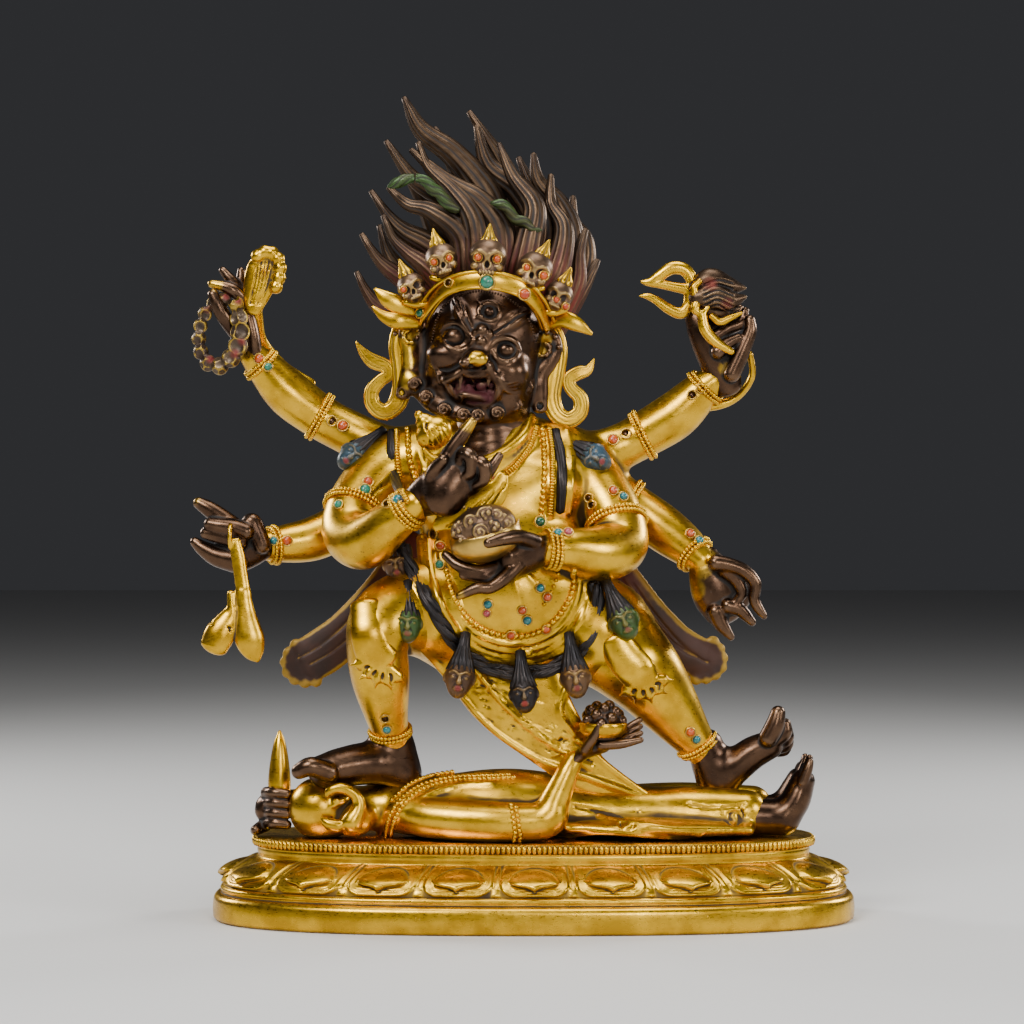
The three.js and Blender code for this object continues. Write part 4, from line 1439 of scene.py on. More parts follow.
@dataclass
class Head:
    """The bare bronze head: a wrathful face with three eyes, open mouth and curled beard."""

    cell: float = 0.45

    def clay(self) -> Clay:
        """Models the head."""
        clay = Clay((-58, -44, 146), (18, 24, 226), self.cell)
        clay.ball((-19.5, -4, 198), (23.4, 21, 25), soft=3, lean=8)
        clay.ball((-22, -9, 182), (21.5, 17, 15), soft=6, lean=8)
        clay.tube([(-18, -3, 178, 15), (-16, -3, 162, 16.4), (-15, -2, 150, 19)], soft=5, flat=0.8)
        return clay

    def face(self, clay: Clay) -> None:
        """Puts the features where the photograph shows them."""
        for marks in (
            [(470, 349, 0.8), (462, 362, 1.0), (449, 370, 1.0), (433, 366, 0.6)],
            [(489, 354, 0.8), (495, 370, 1.0), (505, 383, 1.0), (516, 386, 0.6)],
        ):
            clay.tube(clay.trace(marks, 0.3), soft=2.5, carve=True)
        clay.ball(clay.seen(446, 354, 3.4), (7.8, 6.4, 5.2), soft=4)
        clay.ball(clay.seen(512, 372, 3.4), (6.4, 6.4, 6.4), soft=4)
        clay.ball(clay.seen(440, 398, 4.0), (6, 6, 5), soft=4)
        clay.ball(clay.seen(508, 402, 4.0), (5, 6, 5), soft=4)
        clay.tube(clay.trace([(483, 336, 3.0), (480, 350, 3.6), (477, 358, 4.4)], 1.0), soft=3)
        clay.ball(clay.seen(476, 359, 0.8), (5.0, 4.6, 3.8), soft=1.4)
        for px, py in ((466, 363), (487, 366)):
            clay.ball(clay.seen(px, py, 0.6), (2.8, 3.0, 2.4), soft=1.0)
        for px, py in ((471, 366), (484, 368)):
            clay.ball(clay.seen(px, py, 0.3), (1.2, 1.6, 0.8), soft=0.4, carve=True)
        for px, py, wide, tall in ((456, 336, 5.2, 4.4), (506, 350, 4.3, 3.9)):
            clay.ball(clay.seen(px, py, 0.4), (wide, 1.6, tall), soft=1.2, carve=True)
        clay.ball(clay.seen(455, 337, 1.8), (5.0, 4.6, 4.5), soft=0.2)
        clay.ball(clay.seen(506, 350, 1.8), (4.1, 4.0, 3.8), soft=0.2)
        for marks in (
            [(441, 330, 0.6), (447, 324, 1.0), (458, 323, 1.2), (468, 330, 1.1), (474, 340, 0.7)],
            [(442, 338, 0.6), (447, 346, 0.9), (458, 351, 1.0), (468, 347, 0.9), (473, 340, 0.6)],
            [(491, 346, 0.6), (497, 340, 1.0), (506, 338, 1.1), (515, 342, 1.0), (520, 350, 0.6)],
            [(492, 351, 0.6), (496, 358, 0.9), (506, 362, 1.0), (514, 359, 0.9), (519, 352, 0.6)],
        ):
            clay.tube(clay.trace(marks, 0.1), soft=0.7)
        self.brows(clay)

    def brows(self, clay: Clay) -> None:
        """Adds the feathered brows, the bumps over the nose and the third eye."""
        for marks, side in (
            ([(457, 301, 2.2), (461, 311, 3.3), (466, 322, 3.0), (474, 336, 1.0)], 1),
            ([(525, 313, 2.2), (515, 319, 3.2), (505, 326, 2.8), (494, 333, 1.0)], -1),
        ):
            clay.tube(clay.trace(marks, 1.4), soft=1.0)
            for shift in (-4.5, 0.0, 4.5):
                vein = [(x + shift * (1 - k / 4), y + side * shift * 0.3 * (1 - k / 4), 0.4)
                        for k, (x, y, _) in enumerate(marks)]
                clay.tube(clay.trace(vein, 0.0), soft=0.3, carve=True)
        for px, py, size in ((482, 330, 2.5), (476, 333, 1.8), (489, 334, 1.8), (481, 340.5, 2.2)):
            clay.ball(clay.seen(px, py, 0.9), size, soft=0.5)
        ring = [(489 + 10.5 * math.cos(a), 311.5 + 9.5 * math.sin(a), 0.7) for a in np.linspace(0, 6.28, 17)]
        seats = clay.trace(ring, 0.2)
        clay.ball(clay.seen(489, 312, 0.5), (3.8, 1.4, 3.6), soft=0.6, carve=True)
        clay.tube(seats, soft=0.5)
        clay.ball(clay.seen(489, 312, 1.0), 2.7, soft=0.1)
        for tip in ([(481, 306, 0.8), (477, 300, 0.3)], [(481, 316, 0.8), (474, 318, 0.3)]):
            clay.tube(clay.trace(tip, 0.1), soft=0.4)

    def mouth(self, clay: Clay) -> None:
        """Opens the mouth and sets lips, fangs and broken teeth."""
        lip = [(446, 381), (454, 377), (463, 371), (472, 375), (481, 374), (490, 372), (497, 381), (498, 391),
               (491, 401), (480, 405), (466, 401), (454, 394), (446, 381)]
        ring = clay.trace([(x, y, 1.5) for x, y in lip], 0.3)
        fangs = [(clay.seen(x, y, 0.4), drop) for x, y, drop in
                 ((461, 375, -5.0), (489, 376, -4.2), (461, 398, 3.6), (489, 399, 3.4), (474, 376, -2.6))]
        opening = [(451, 381, 2.0), (460, 384, 4.0), (470, 387, 5.0), (483, 389, 5.2), (491, 389, 3.6)]
        clay.tube(clay.trace(opening, 1.4), soft=0.8, carve=True)
        clay.tube(ring, soft=2.2)
        for seat, drop in fangs:
            clay.tube([(*seat, 1.3), (seat[0] - 0.4, seat[1] + 0.4, seat[2] + drop, 0.3)], soft=0.3)
        rng = np.random.default_rng(SEED)
        for _ in range(26):
            px, py = rng.uniform(458, 492), rng.uniform(381, 399)
            clay.ball(LENS.at(px, py, rng.uniform(-23.5, -20)), rng.uniform(1.0, 2.1), soft=0.6)
        clay.ball(LENS.at(472, 396, -22.5), (6, 3.4, 2.2), soft=0.8, lean=8)

    def beard(self, clay: Clay) -> None:
        """Adds the moustache and the curls under the chin."""
        for k in range(4):
            clay.tube(clay.trace([(456, 371 + 2 * k, 0.7), (449, 374 + 2.6 * k, 0.7),
                                  (440, 372 + 3.6 * k, 0.6),
                                  (431 + 2 * k, 363 + 4 * k, 0.35)], 0.1), soft=0.4)
            clay.tube(clay.trace([(500, 373 + 2 * k, 0.7), (504, 379 + 3 * k, 0.7), (508, 383 + 3 * k, 0.7),
                                  (517, 381 + 4 * k, 0.35)], 0.1), soft=0.4)
        fringe = [(409, 372, -8), (416, 384, -10), (426, 397, -14), (444, 409, -19), (470, 415, -22),
                  (497, 413, -19), (515, 406, -14), (526, 388, -10), (531, 372, -7)]
        clay.tube([(*LENS.at(x, y, d + 3), 3.4) for x, y, d in fringe[1:-1]], soft=4)
        for px, py, deep in ((415, 384, -12), (426, 397, -16), (444, 410, -21), (463, 415, -25),
                             (477, 416, -25),
                             (497, 413, -21), (515, 406, -16), (526, 388, -12)):
            seat = LENS.at(px, py, deep)
            clay.ball(seat, (3.0, 2.8, 3.0), soft=0.7)
            spiral = []
            for step in range(15):
                angle = step * 0.72
                reach = 2.7 * (1 - step / 16.5)
                place = seat + (reach * math.cos(angle), -2.0 - 0.1 * step, reach * math.sin(angle))
                spiral.append((*place, 0.48))
            clay.tube(spiral, soft=0.15)

    def ears(self, clay: Clay) -> None:
        """Adds the long-lobed ears."""
        left = [(424, 326, 2.0), (417, 318, 2.2), (409, 320, 2.4), (405, 334, 2.6), (408, 350, 2.8),
                (409, 368, 3.0), (406, 384, 3.2), (402, 396, 2.6)]
        right = [(534, 342, 2.2), (541, 333, 2.6), (552, 337, 2.8), (555, 350, 3.0), (549, 363, 3.2),
                 (541, 376, 3.2), (540, 394, 3.4), (540, 409, 3.0)]
        for marks in (left, right):
            clay.tube(LENS.stations(marks, -7.0), soft=1.2, flat=0.6, wide=(1, 0, 0))
        for px, py, tall in ((414, 340, 7), (542, 350, 7), (419, 366, 11), (534, 374, 11)):
            clay.ball(LENS.at(px, py, -3.0), (5.4, 4.2, tall), soft=2.5)
        for k in range(12):
            angle = k * 0.7
            reach = 5.4 * (1 - k / 14)
            for px, side in ((545, 1), (409, -1)):
                here = LENS.at(px, 347 if side > 0 else 334, -9.4)
                spot = here + (side * reach * math.cos(angle), 0, reach * math.sin(angle) * 1.25)
                clay.ball(spot, 1.0, soft=0.8)
        for px, py in ((540, 406), (402, 392)):
            clay.ball(LENS.at(px, py, -9), (1.3, 4.5, 1.5), soft=0.2, carve=True)

    def build(self) -> None:
        """Builds the head."""
        clay = self.clay()
        self.face(clay)
        self.ears(clay)
        self.beard(clay)
        nose = clay.seen(478, 358)
        self.mouth(clay)
        hairline = clay.trace([(432, 342, 1), (436, 322, 1), (444, 306, 1), (458, 296, 1), (478, 291, 1),
                               (500, 295, 1), (518, 306, 1), (530, 322, 1), (535, 342, 1)], 0.2)
        shape = clay.shape(1.2)
        shape.paint("rub", [(*nose, 3.6), (nose[0] + 2.4, nose[1], nose[2] - 0.4, 2.8)], 0.8)
        ears = [(*LENS.at(px, py, -8), r) for px, py, r in (
            (410, 330, 3.4), (406, 345, 3.2), (407, 362, 3.0), (409, 380, 3.4), (541, 352, 2.4),
            (546, 340, 2.2))]
        shape.paint("rub", ears, 5.0)
        shape.paint("red", [(*LENS.at(464, 388, -20), 5.0), (*LENS.at(474, 391, -20), 6.0),
                            (*LENS.at(486, 392, -21), 5.0)], 1.0)
        cast(shape, "head", BRONZE)
        settle(BeadString.object("hairline", [np.array(hairline)], 1.1, 0.95, BRONZE, length=0.5))


@dataclass
class Hands:
    """The six hands in bare bronze, with gold left on the fingertips and wrists."""

    cell: float = 0.5
    gilding: float = 0.5

    def main_left(self, clay: Clay) -> None:
        """Models the hand that held a chopper: open to the viewer's left, pointing up."""
        clay.tube([(-46, -42, 132, 6.2), (-39, -46, 136, 8.6), (-31, -49, 141, 9.2), (-25.5, -49, 145, 6.4)],
                  soft=2, flat=0.62, wide=(0.65, 0, -0.75))
        clay.ball((-34, -50, 135), (8, 5.5, 8.5), soft=3, lean=35)
        clay.tube([(-37, -49, 143, 3.8), (-32.5, -51, 151, 3.2), (-28, -51.5, 157.5, 2.8),
                   (-24, -52, 163, 2.0)],
                  soft=1)
        for x, z, size in ((-28.5, 148, 3.0), (-23.5, 145, 2.8)):
            clay.tube([(x - 1, -49, z - 3, size), (x + 1.6, -54, z + 2.4, size),
                       (x + 4.2, -56, z + 1.2, size * 0.95),
                       (x + 4.2, -54.5, z - 4, size * 0.85), (x + 1.0, -52, z - 6, size * 0.7)], soft=0.8)
        clay.tube([(-24, -49, 138, 3.2), (-19.5, -51, 142, 2.8), (-16.2, -52, 146, 2.3),
                   (-13.5, -52, 150, 1.7)],
                  soft=0.8)
        clay.tube([(-39, -47, 138, 3.6), (-38.4, -52, 144, 3.0), (-35, -55, 148.5, 2.2)], soft=1.2)

    def main_right(self, clay: Clay) -> None:
        """Models the hand under the skull cup, its fingers pointing to the viewer's left."""
        clay.tube([(5, -40, 114.5, 6.4), (-1, -44, 112.5, 7.6), (-9, -48, 109, 7.4)], soft=2, flat=0.66,
                  wide=(0.2, -0.5, 0.85))
        clay.tube([(0, -48, 117, 3.3), (-6, -54, 119, 3.0), (-12, -59, 118.4, 2.7), (-17.5, -62, 116.8, 2.0)],
                  soft=1)
        clay.tube([(-7, -50, 108, 3.0), (-12, -53, 103, 2.8), (-17, -54, 99.8, 2.5), (-22, -54.5, 99.5, 2.3),
                   (-28.6, -54, 96.6, 1.7)], soft=1)
        clay.tube([(-12, -47, 108, 2.9), (-21, -50, 106, 2.6), (-29, -49, 108, 2.3), (-34, -46.5, 112, 1.9)],
                  soft=1)
        clay.tube([(-9, -48, 106, 2.8), (-18, -50, 103.5, 2.5), (-27, -49, 104.5, 2.1)], soft=1)

    def upper_left(self, clay: Clay) -> None:
        """Models the raised hand that tells the rosary."""
        clay.tube([(-112, 2, 190, 5.6), (-114, 1, 200, 6.8), (-116.6, 1, 211, 6.4)], soft=2, flat=0.6,
                  wide=(0.4, -1, 0))
        clay.tube([(-119, -4, 200, 2.8), (-123, -7, 206, 3.0), (-125.6, -8, 211, 2.7),
                   (-127.4, -8, 215, 2.2)],
                  soft=1)
        clay.tube([(-115, -3, 212, 2.9), (-120, -6, 217, 2.6), (-128, -6, 219.4, 1.7)], soft=0.7)
        clay.tube([(-115, -1, 213, 2.7), (-119.5, -3, 219.6, 2.5), (-124, -3, 225, 1.6)], soft=0.7)
        clay.tube([(-114, 1, 213, 2.6), (-116.6, 0, 220, 2.4), (-117, 0, 225, 1.6)], soft=0.7)

    def upper_right(self, clay: Clay) -> None:
        """Models the raised hand that holds the trident."""
        back = [(728, 388, 5.6), (721, 367, 7.6), (711, 346, 7.4), (701, 328, 6.0), (692, 316, 3.4)]
        clay.tube(LENS.stations(back, 0), soft=2, flat=0.62, wide=(1, -0.2, 0))
        for marks, deep in (
            ([(732, 374, 3.4), (742, 352, 3.2), (750, 332, 2.7), (750, 320, 2.0)], -6),
            ([(714, 338, 2.9), (728, 329, 2.7), (741, 323, 2.4), (745, 311, 1.7)], -4),
            ([(706, 330, 2.7), (719, 321, 2.5), (734, 315, 2.2), (740, 308, 1.5)], 1),
            ([(718, 352, 3.0), (727, 344, 2.6), (738, 338, 1.9)], -7),
        ):
            clay.tube(LENS.stations(marks, deep), soft=1)

    def lower_left(self, clay: Clay) -> None:
        """Models the hand from whose finger the drum hangs."""
        palm = [(263, 546, 5.6), (250, 549, 7.4), (235, 553, 8.0), (222, 553, 6.0)]
        clay.tube(LENS.stations(palm, -8), soft=2, flat=0.7, wide=(0, -0.3, 1))
        for marks, deep in (
            ([(238, 530, 4.0), (222, 518, 3.7), (209, 509, 3.3), (199, 503, 2.4)], -11),
            ([(246, 532, 3.4), (234, 528, 3.4), (220, 526, 3.1), (210, 524, 2.5)], -15),
            ([(240, 542, 3.2), (228, 538, 3.2), (215, 535, 2.9), (206, 533, 2.4)], -14),
            ([(234, 560, 5.0), (217, 556, 4.2), (204, 549, 3.1), (195, 542, 2.0)], -11),
            ([(262, 545, 3.6), (257, 532, 3.8), (252, 522, 3.6), (246, 526, 3.0)], -12),
        ):
            clay.tube(LENS.stations(marks, deep), soft=1)

    def lower_right(self, clay: Clay) -> None:
        """Models the hand that held a noose, its fingers curled round nothing."""
        palm = [(704, 558, 6.2), (711, 575, 9.0), (717, 594, 9.8), (723, 612, 7.4)]
        clay.tube(LENS.stations(palm, -4), soft=2, flat=0.7, wide=(1, 0, 0.4))
        clay.ball(LENS.at(733, 592, -3), (7.5, 5, 9.5), soft=3)
        for marks, deep in (
            ([(716, 563, 3.4), (729, 565, 3.0), (744, 571, 2.8), (755, 583, 2.5), (754, 598, 2.3),
              (758, 608, 2.1), (764, 616, 1.4)], -13),
            ([(724, 570, 3.0), (736, 580, 2.7), (742, 592, 2.4), (737, 601, 1.8)], -11),
            ([(728, 606, 3.2), (740, 610, 2.9), (752, 622, 1.7)], -10),
            ([(716, 612, 3.6), (721, 624, 3.0), (731, 637, 1.5)], -9),
        ):
            clay.tube(LENS.stations(marks, deep), soft=1)

    def build(self) -> None:
        """Builds the hands."""
        hands = (
            ("hand_main_left", self.main_left, (-56, -62, 120), (-6, -34, 168),
             [(-25, -52, 162, 4), (-46, -42, 132, 5)]),
            ("hand_main_right", self.main_right, (-40, -66, 90), (14, -30, 126),
             [(4, -40, 115, 7.5), (-7, -55, 118, 3), (-28, -54, 97, 3)]),
            ("hand_upper_left", self.upper_left, (-134, -14, 182), (-102, 12, 232), [(-127, -6, 219, 5)]),
            ("hand_upper_right", self.upper_right, (54, -16, 172), (94, 12, 222), [(76, -5, 186, 3.6)]),
            ("hand_lower_left", self.lower_left, (-140, -24, 98), (-100, 6, 140), [(-133, -12, 133, 2.6)]),
            ("hand_lower_right", self.lower_right, (58, -20, 70), (98, 8, 122),
             [(67, -6, 108, 8), (65, -6, 98, 6), (70, -10, 112, 5)]),
        )
        for name, model, low, high, gold in hands:
            clay = Clay(low, high, self.cell)
            model(clay)
            shape = clay.shape(1.4)
            shape.paint("rub", gold, 3.0)
            shape.values["rub"] = shape.values["rub"] * self.gilding
            settle(shape.object(name, BRONZE.material()), Node.FIGURE)


@dataclass
class Feet:
    """The two bare bronze feet."""

    cell: float = 0.6

    def build(self) -> None:
        """Builds the feet."""
        left = Clay((-106, -42, 10), (-38, 4, 52), self.cell)
        left.tube([(-57, -16, 42, 8), (-55, -14, 34, 8.6), (-52, -12, 25, 7.4)], soft=3)
        left.tube([(-53, -14, 25.6, 7.2), (-64, -18, 29.4, 9.6), (-75, -21, 28.4, 9), (-82, -23, 27, 7.8)],
                  soft=5, flat=0.86, wide=(0, 1, 0))
        for k, (length, girth) in enumerate(((9.5, 3.9), (9.5, 3.1), (8.5, 2.9), (7, 2.7), (5.5, 2.6))):
            y = -31.5 + k * 4.4
            left.tube([(-80, y + 2, 27, girth), (-82 - length * 0.5, y, 29.4, girth),
                       (-82 - length, y, 27.6, girth * 0.8)], soft=0.8)
        shape = left.shape(1.8)
        cast(shape, "foot_left", BRONZE)
        right = Clay((52, -28, 4), (114, 18, 64), self.cell)
        right.tube([(*LENS.at(706, 746, -5), 7), (*LENS.at(711, 764, -4), 7.8),
                    (*LENS.at(717, 784, -3), 7.2)],
                   soft=3)
        right.tube([(*LENS.at(718, 784, -3), 7), (*LENS.at(733, 769, -5), 7.8), (*LENS.at(751, 754, -6), 7.6),
                    (*LENS.at(769, 745, -7), 6.6)], soft=5, flat=0.86, wide=(0, 1, 0))
        toes = (((768, 738), (775, 725), (778, 713), 3.8), ((772, 742), (784, 733), (785, 724), 3.1),
                ((773, 745), (786, 739), (787, 730), 2.9), ((773, 748), (786, 745), (788, 737), 2.7),
                ((772, 751), (784, 750), (787, 744), 2.5))
        for k, (*places, girth) in enumerate(toes):
            line = [LENS.at(px, py, -14.5 + k * 4.2) for px, py in places]
            right.tube([(*point, girth * share) for point, share in zip(line, (1, 1, 0.78))], soft=0.7)
        shape = right.shape(1.8)
        cast(shape, "foot_right", BRONZE)


@dataclass
class Hair:
    """The flaming hair: grooved locks over a cap."""

    locks: tuple[tuple[Station, ...], ...] = (
        ((-12, 0, 222, 8), (-16, 2, 242, 7.4), (-19, 3, 256, 6.6), (-32, 4, 272, 5.2), (-45, 4, 282, 3.8),
         (-52, 4, 295, 0.5)),
        ((0, 2, 220, 8), (2, 3, 244, 7), (-6, 5, 258, 5.6), (-18, 6, 268, 4), (-23, 6, 284, 0.5)),
        ((9, 4, 215, 8), (14, 6, 238, 6.6), (10, 8, 252, 4.8), (2, 8, 262, 3), (0, 8, 273, 0.5)),
        ((10, 5, 208, 6.4), (19, 8, 226, 5.6), (20, 9, 238, 4.4), (16, 10, 246, 2.8), (16, 10, 256, 0.5)),
        ((6, 4, 200, 6), (15, 4, 212, 4.6), (21, 5, 221, 3), (26, 6, 230, 0.5)),
        ((-18, 3, 228, 8), (-24, 2, 246, 6.8), (-36, 1, 255, 5), (-48, 0, 262, 3.2), (-59, 0, 277, 0.5)),
        ((-14, -8, 222, 8), (-14, -7, 240, 7), (-22, -6, 252, 5.4), (-34, -5, 260, 3.6), (-49, -4, 273, 0.5)),
        ((-26, -8, 220, 7), (-28, -8, 238, 6), (-40, -7, 248, 4), (-50, -5, 251, 2.6), (-58, -4, 258, 0.5)),
        ((-28, 0, 220, 7.4), (-40, 0, 234, 5.6), (-52, 0, 241, 3.8), (-58, 0, 247, 2.4), (-65, 0, 257, 0.5)),
        ((-36, 3, 210, 6.6), (-48, 2, 219, 5), (-58, 2, 226, 3.4), (-63, 2, 231, 2.2), (-69, 2, 240, 0.5)),
        ((-38, 5, 203, 6), (-52, 4, 206, 4.8), (-62, 4, 211, 3.4), (-67, 4, 217, 2.2), (-71, 4, 225, 0.5)),
        ((-30, 14, 205, 9), (-34, 15, 232, 8), (-42, 14, 252, 5), (-54, 12, 270, 0.6)),
        ((-14, 17, 205, 11), (-18, 17, 240, 9), (-27, 15, 262, 6), (-40, 13, 284, 0.6)),
        ((2, 15, 203, 9), (7, 16, 230, 7.4), (3, 14, 250, 4.6), (-6, 13, 272, 0.6)),
        ((-6, -10, 220, 7), (-2, -9, 236, 6), (0, -7, 250, 4.6), (-8, -4, 262, 3), (-14, 0, 276, 0.5)),
        ((4, -8, 214, 6.4), (10, -6, 228, 5.4), (12, -2, 242, 4), (7, 2, 252, 2.6), (7, 4, 264, 0.5)),
        ((-30, -6, 214, 6.4), (-42, -5, 226, 4.6), (-50, -4, 232, 3), (-56, -3, 238, 2), (-60, -3, 247, 0.5)),
        ((10, 0, 206, 5.4), (17, 1, 220, 4.2), (18, 2, 232, 2.8), (21, 3, 242, 0.5)),
        ((-22, -10, 224, 6), (-24, -9, 244, 5.4), (-32, -7, 256, 3.8), (-42, -5, 266, 2.2),
         (-46, -4, 276, 0.5)),
        ((-38, 10, 212, 6), (-50, 10, 222, 4.6), (-58, 9, 232, 3), (-62, 8, 244, 0.5)),
        ((12, 11, 210, 6), (20, 11, 224, 4.6), (22, 10, 240, 0.5)),
        ((-4, 8, 226, 8), (-6, 9, 250, 6.4), (-12, 9, 268, 4), (-26, 9, 290, 0.5)),
    )

    def build(self) -> None:
        """Builds the hair."""
        cap = Clay((-62, -22, 190), (30, 34, 262), 0.9)
        cap.ball((-15, 5, 218), (27, 15, 26), soft=2, lean=-10)
        cap.ball((-20, 6, 200), (27, 20, 24), soft=6, lean=8)
        parts = [cap.shape(2.0)]
        for k, stations in enumerate(self.locks):
            section = Section(sides=40, flat=0.72, ridges=10, depth=0.14, twist=0.01 * (k % 3 - 1))
            blunt = [*stations[:-1], (*stations[-1][:3], 1.15)]
            parts.append(sweep(blunt, section, wide=(1, 0, 0.4), step=2.0))
        shape = Shape.joined(parts)
        share = shape.values.get("share", np.zeros(len(shape.points)))
        root = np.clip(1 - (shape.points[:, 2] - 214) / 26, 0, 1)
        front = np.clip((6 - shape.points[:, 1]) / 6, 0, 1)
        shape.values["red"] = root * front * np.clip(shape.values["hollow"] + 0.4, 0, 1) * (1 - share) * 0.9
        cast(shape, "hair", HAIR)
        self.snakes()

    def snakes(self) -> None:
        """Builds the two small green snakes wound into the hair."""
        parts = []
        for marks in (
            [(388, 187, 0.6), (395, 184, 2.2), (404, 180, 2.4), (414, 178, 1.9), (424, 180, 2.2),
             (433, 189, 2.7),
             (440, 194, 2.5), (448, 204, 2.6), (458, 211, 1.4)],
            [(491, 203, 0.8), (500, 204, 2.3), (508, 209, 2.2), (515, 219, 2.4), (525, 222, 2.2),
             (532, 229, 1.8),
             (542, 230, 0.5)],
        ):
            stations = LENS.stations(marks, -11.5)
            parts.append(sweep(stations, Section(sides=24, flat=0.8, ridges=5, depth=0.16, twist=1.1),
                               step=0.9))
        shape = Shape.joined(parts)
        shape.values.pop("share", None)
        cast(shape, "hair_snakes", GREEN_PAINT)


@dataclass
class Crown:
    """The gilt crown band with its leaves, five skulls and flame finials."""

    skulls: tuple[tuple[float, float, float, float, float], ...] = (
        (-48, -16, 216.8, 5.6, -24), (-36, -22, 227, 6.4, -16), (-18.2, -26, 227.2, 7.4, 4),
        (0, -22, 223, 7.0, 26),
        (9.6, -15, 213.6, 5.6, 24),
    )

    def build(self) -> Shape:
        """Builds the crown and returns its shape."""
        return Shape.joined([self.band(), self.bones()])

    def band(self) -> Shape:
        """Builds the band, its leaves and the finials over the skulls, and returns their shape."""
        section = Section(sides=16, flat=0.55, rim=0.5)
        rim = [(-45, -6, 203, 3.2), (-43, -14, 208, 3.4), (-37, -22, 215, 3.4), (-29, -27, 218.5, 3.6),
               (-17, -30, 219, 3.8), (-5, -27, 216, 3.6), (2, -20, 210, 3.4), (6, -10, 202, 3.2)]
        middle = np.array((-19.5, 0.0, 190.0))
        parts = [sweep(rim, Section(sides=16, flat=0.34), wide=(0.15, 0, 1))]
        for share in (-0.84, 0.84):
            edge = []
            for x, y, z, r in rim:
                out = unit(np.array((x, 0.0, z)) - middle)
                edge.append((*(np.array((x, y - 0.7, z)) + out * r * share), 0.75))
            parts.append(sweep(edge, Section(sides=8), wide=(0, 1, 0)))
        parts += [
            sweep([(-44, -9, 208, 2.4), (-52, -11, 210, 3.8), (-58, -12, 213, 3.2), (-63, -12, 217, 0.6)],
                  section, wide=(0.4, 0, 1)),
            sweep([(-45, -10, 203, 2.0), (-53, -12, 204, 3.4), (-59, -12, 206, 2.4), (-64, -12, 210, 0.5)],
                  section, wide=(0.3, 0, 1)),
            sweep([(6, -9, 203, 2.4), (11, -11, 205, 3.4), (17, -12, 203, 3.0), (23, -12, 199, 0.6)],
                  section, wide=(0.3, 0, 1)),
        ]
        for x, y, z, r, lean in self.skulls:
            up = upward(lean)
            base = np.array((x, y, z)) + up * r * 0.8
            parts.append(sweep(
                [(*(base + (0, -1.0, 0)), 2.6), (*(base + up * 1.6 - (0, 1.4, 0)), 3.5),
                 (*(base + up * 4.2 - (0, 0.6, 0)), 2.1), (*(base + up * 8.2), 0.4)],
                Section(sides=28, flat=0.5, ridges=7, depth=0.2), wide=(1, 0, 0)))
            low = np.array((x, y, z)) - up * r * 1.0
            parts.append(sweep([(*(low + (-r, 1, 0)), 1.2), (*(low - up * 1.2), 1.9),
                                (*(low + (r, 1, 0)), 1.2)],
                               Section(sides=10), wide=(0, 0, 1)))
        shape = Shape.joined(parts)
        shape.values.pop("share", None)
        cast(shape, "crown", GILT)
        return shape

    def bones(self) -> Shape:
        """Builds the skulls and returns their shape."""
        parts = []
        for x, y, z, r, lean in self.skulls:
            clay = Clay((x - r * 1.9, y - r * 1.7, z - r * 2), (x + r * 1.9, y + r * 1.6, z + r * 2), 0.42)
            spot = head_map(np.array((x, y, z), float), r, lean)
            clay.ball(spot(0, 0, 0.2), (r, r, r * 0.95), soft=1, lean=lean)
            clay.ball(spot(0, 0.25, -0.55), (r * 0.62, r * 0.7, r * 0.55), soft=1.4, lean=lean)
            for side in (-1, 1):
                clay.ball(spot(0.48 * side, 0.95, -0.02), (r * 0.34, r * 0.3, r * 0.3), soft=0.5, carve=True)
                clay.tube([(*spot(0.1 * side, 0.95, 0.24), r * 0.07), (*spot(0.5 * side, 0.86, 0.4), r * 0.1),
                           (*spot(0.86 * side, 0.56, 0.2), r * 0.07)], soft=0.5)
                clay.ball(spot(0.6 * side, 0.6, -0.4), (r * 0.28, r * 0.3, r * 0.22), soft=0.8)
            clay.ball(spot(0, 1.0, -0.3), (r * 0.13, r * 0.4, r * 0.2), soft=0.3, carve=True)
            for k in range(5):
                clay.ball(spot(-0.34 + 0.17 * k, 0.86, -0.72), (r * 0.09, r * 0.16, r * 0.14), soft=0.1)
            parts.append(clay.shape(1.2))
        shape = Shape.joined(parts)
        cast(shape, "crown_skulls", OFFERING)
        return shape


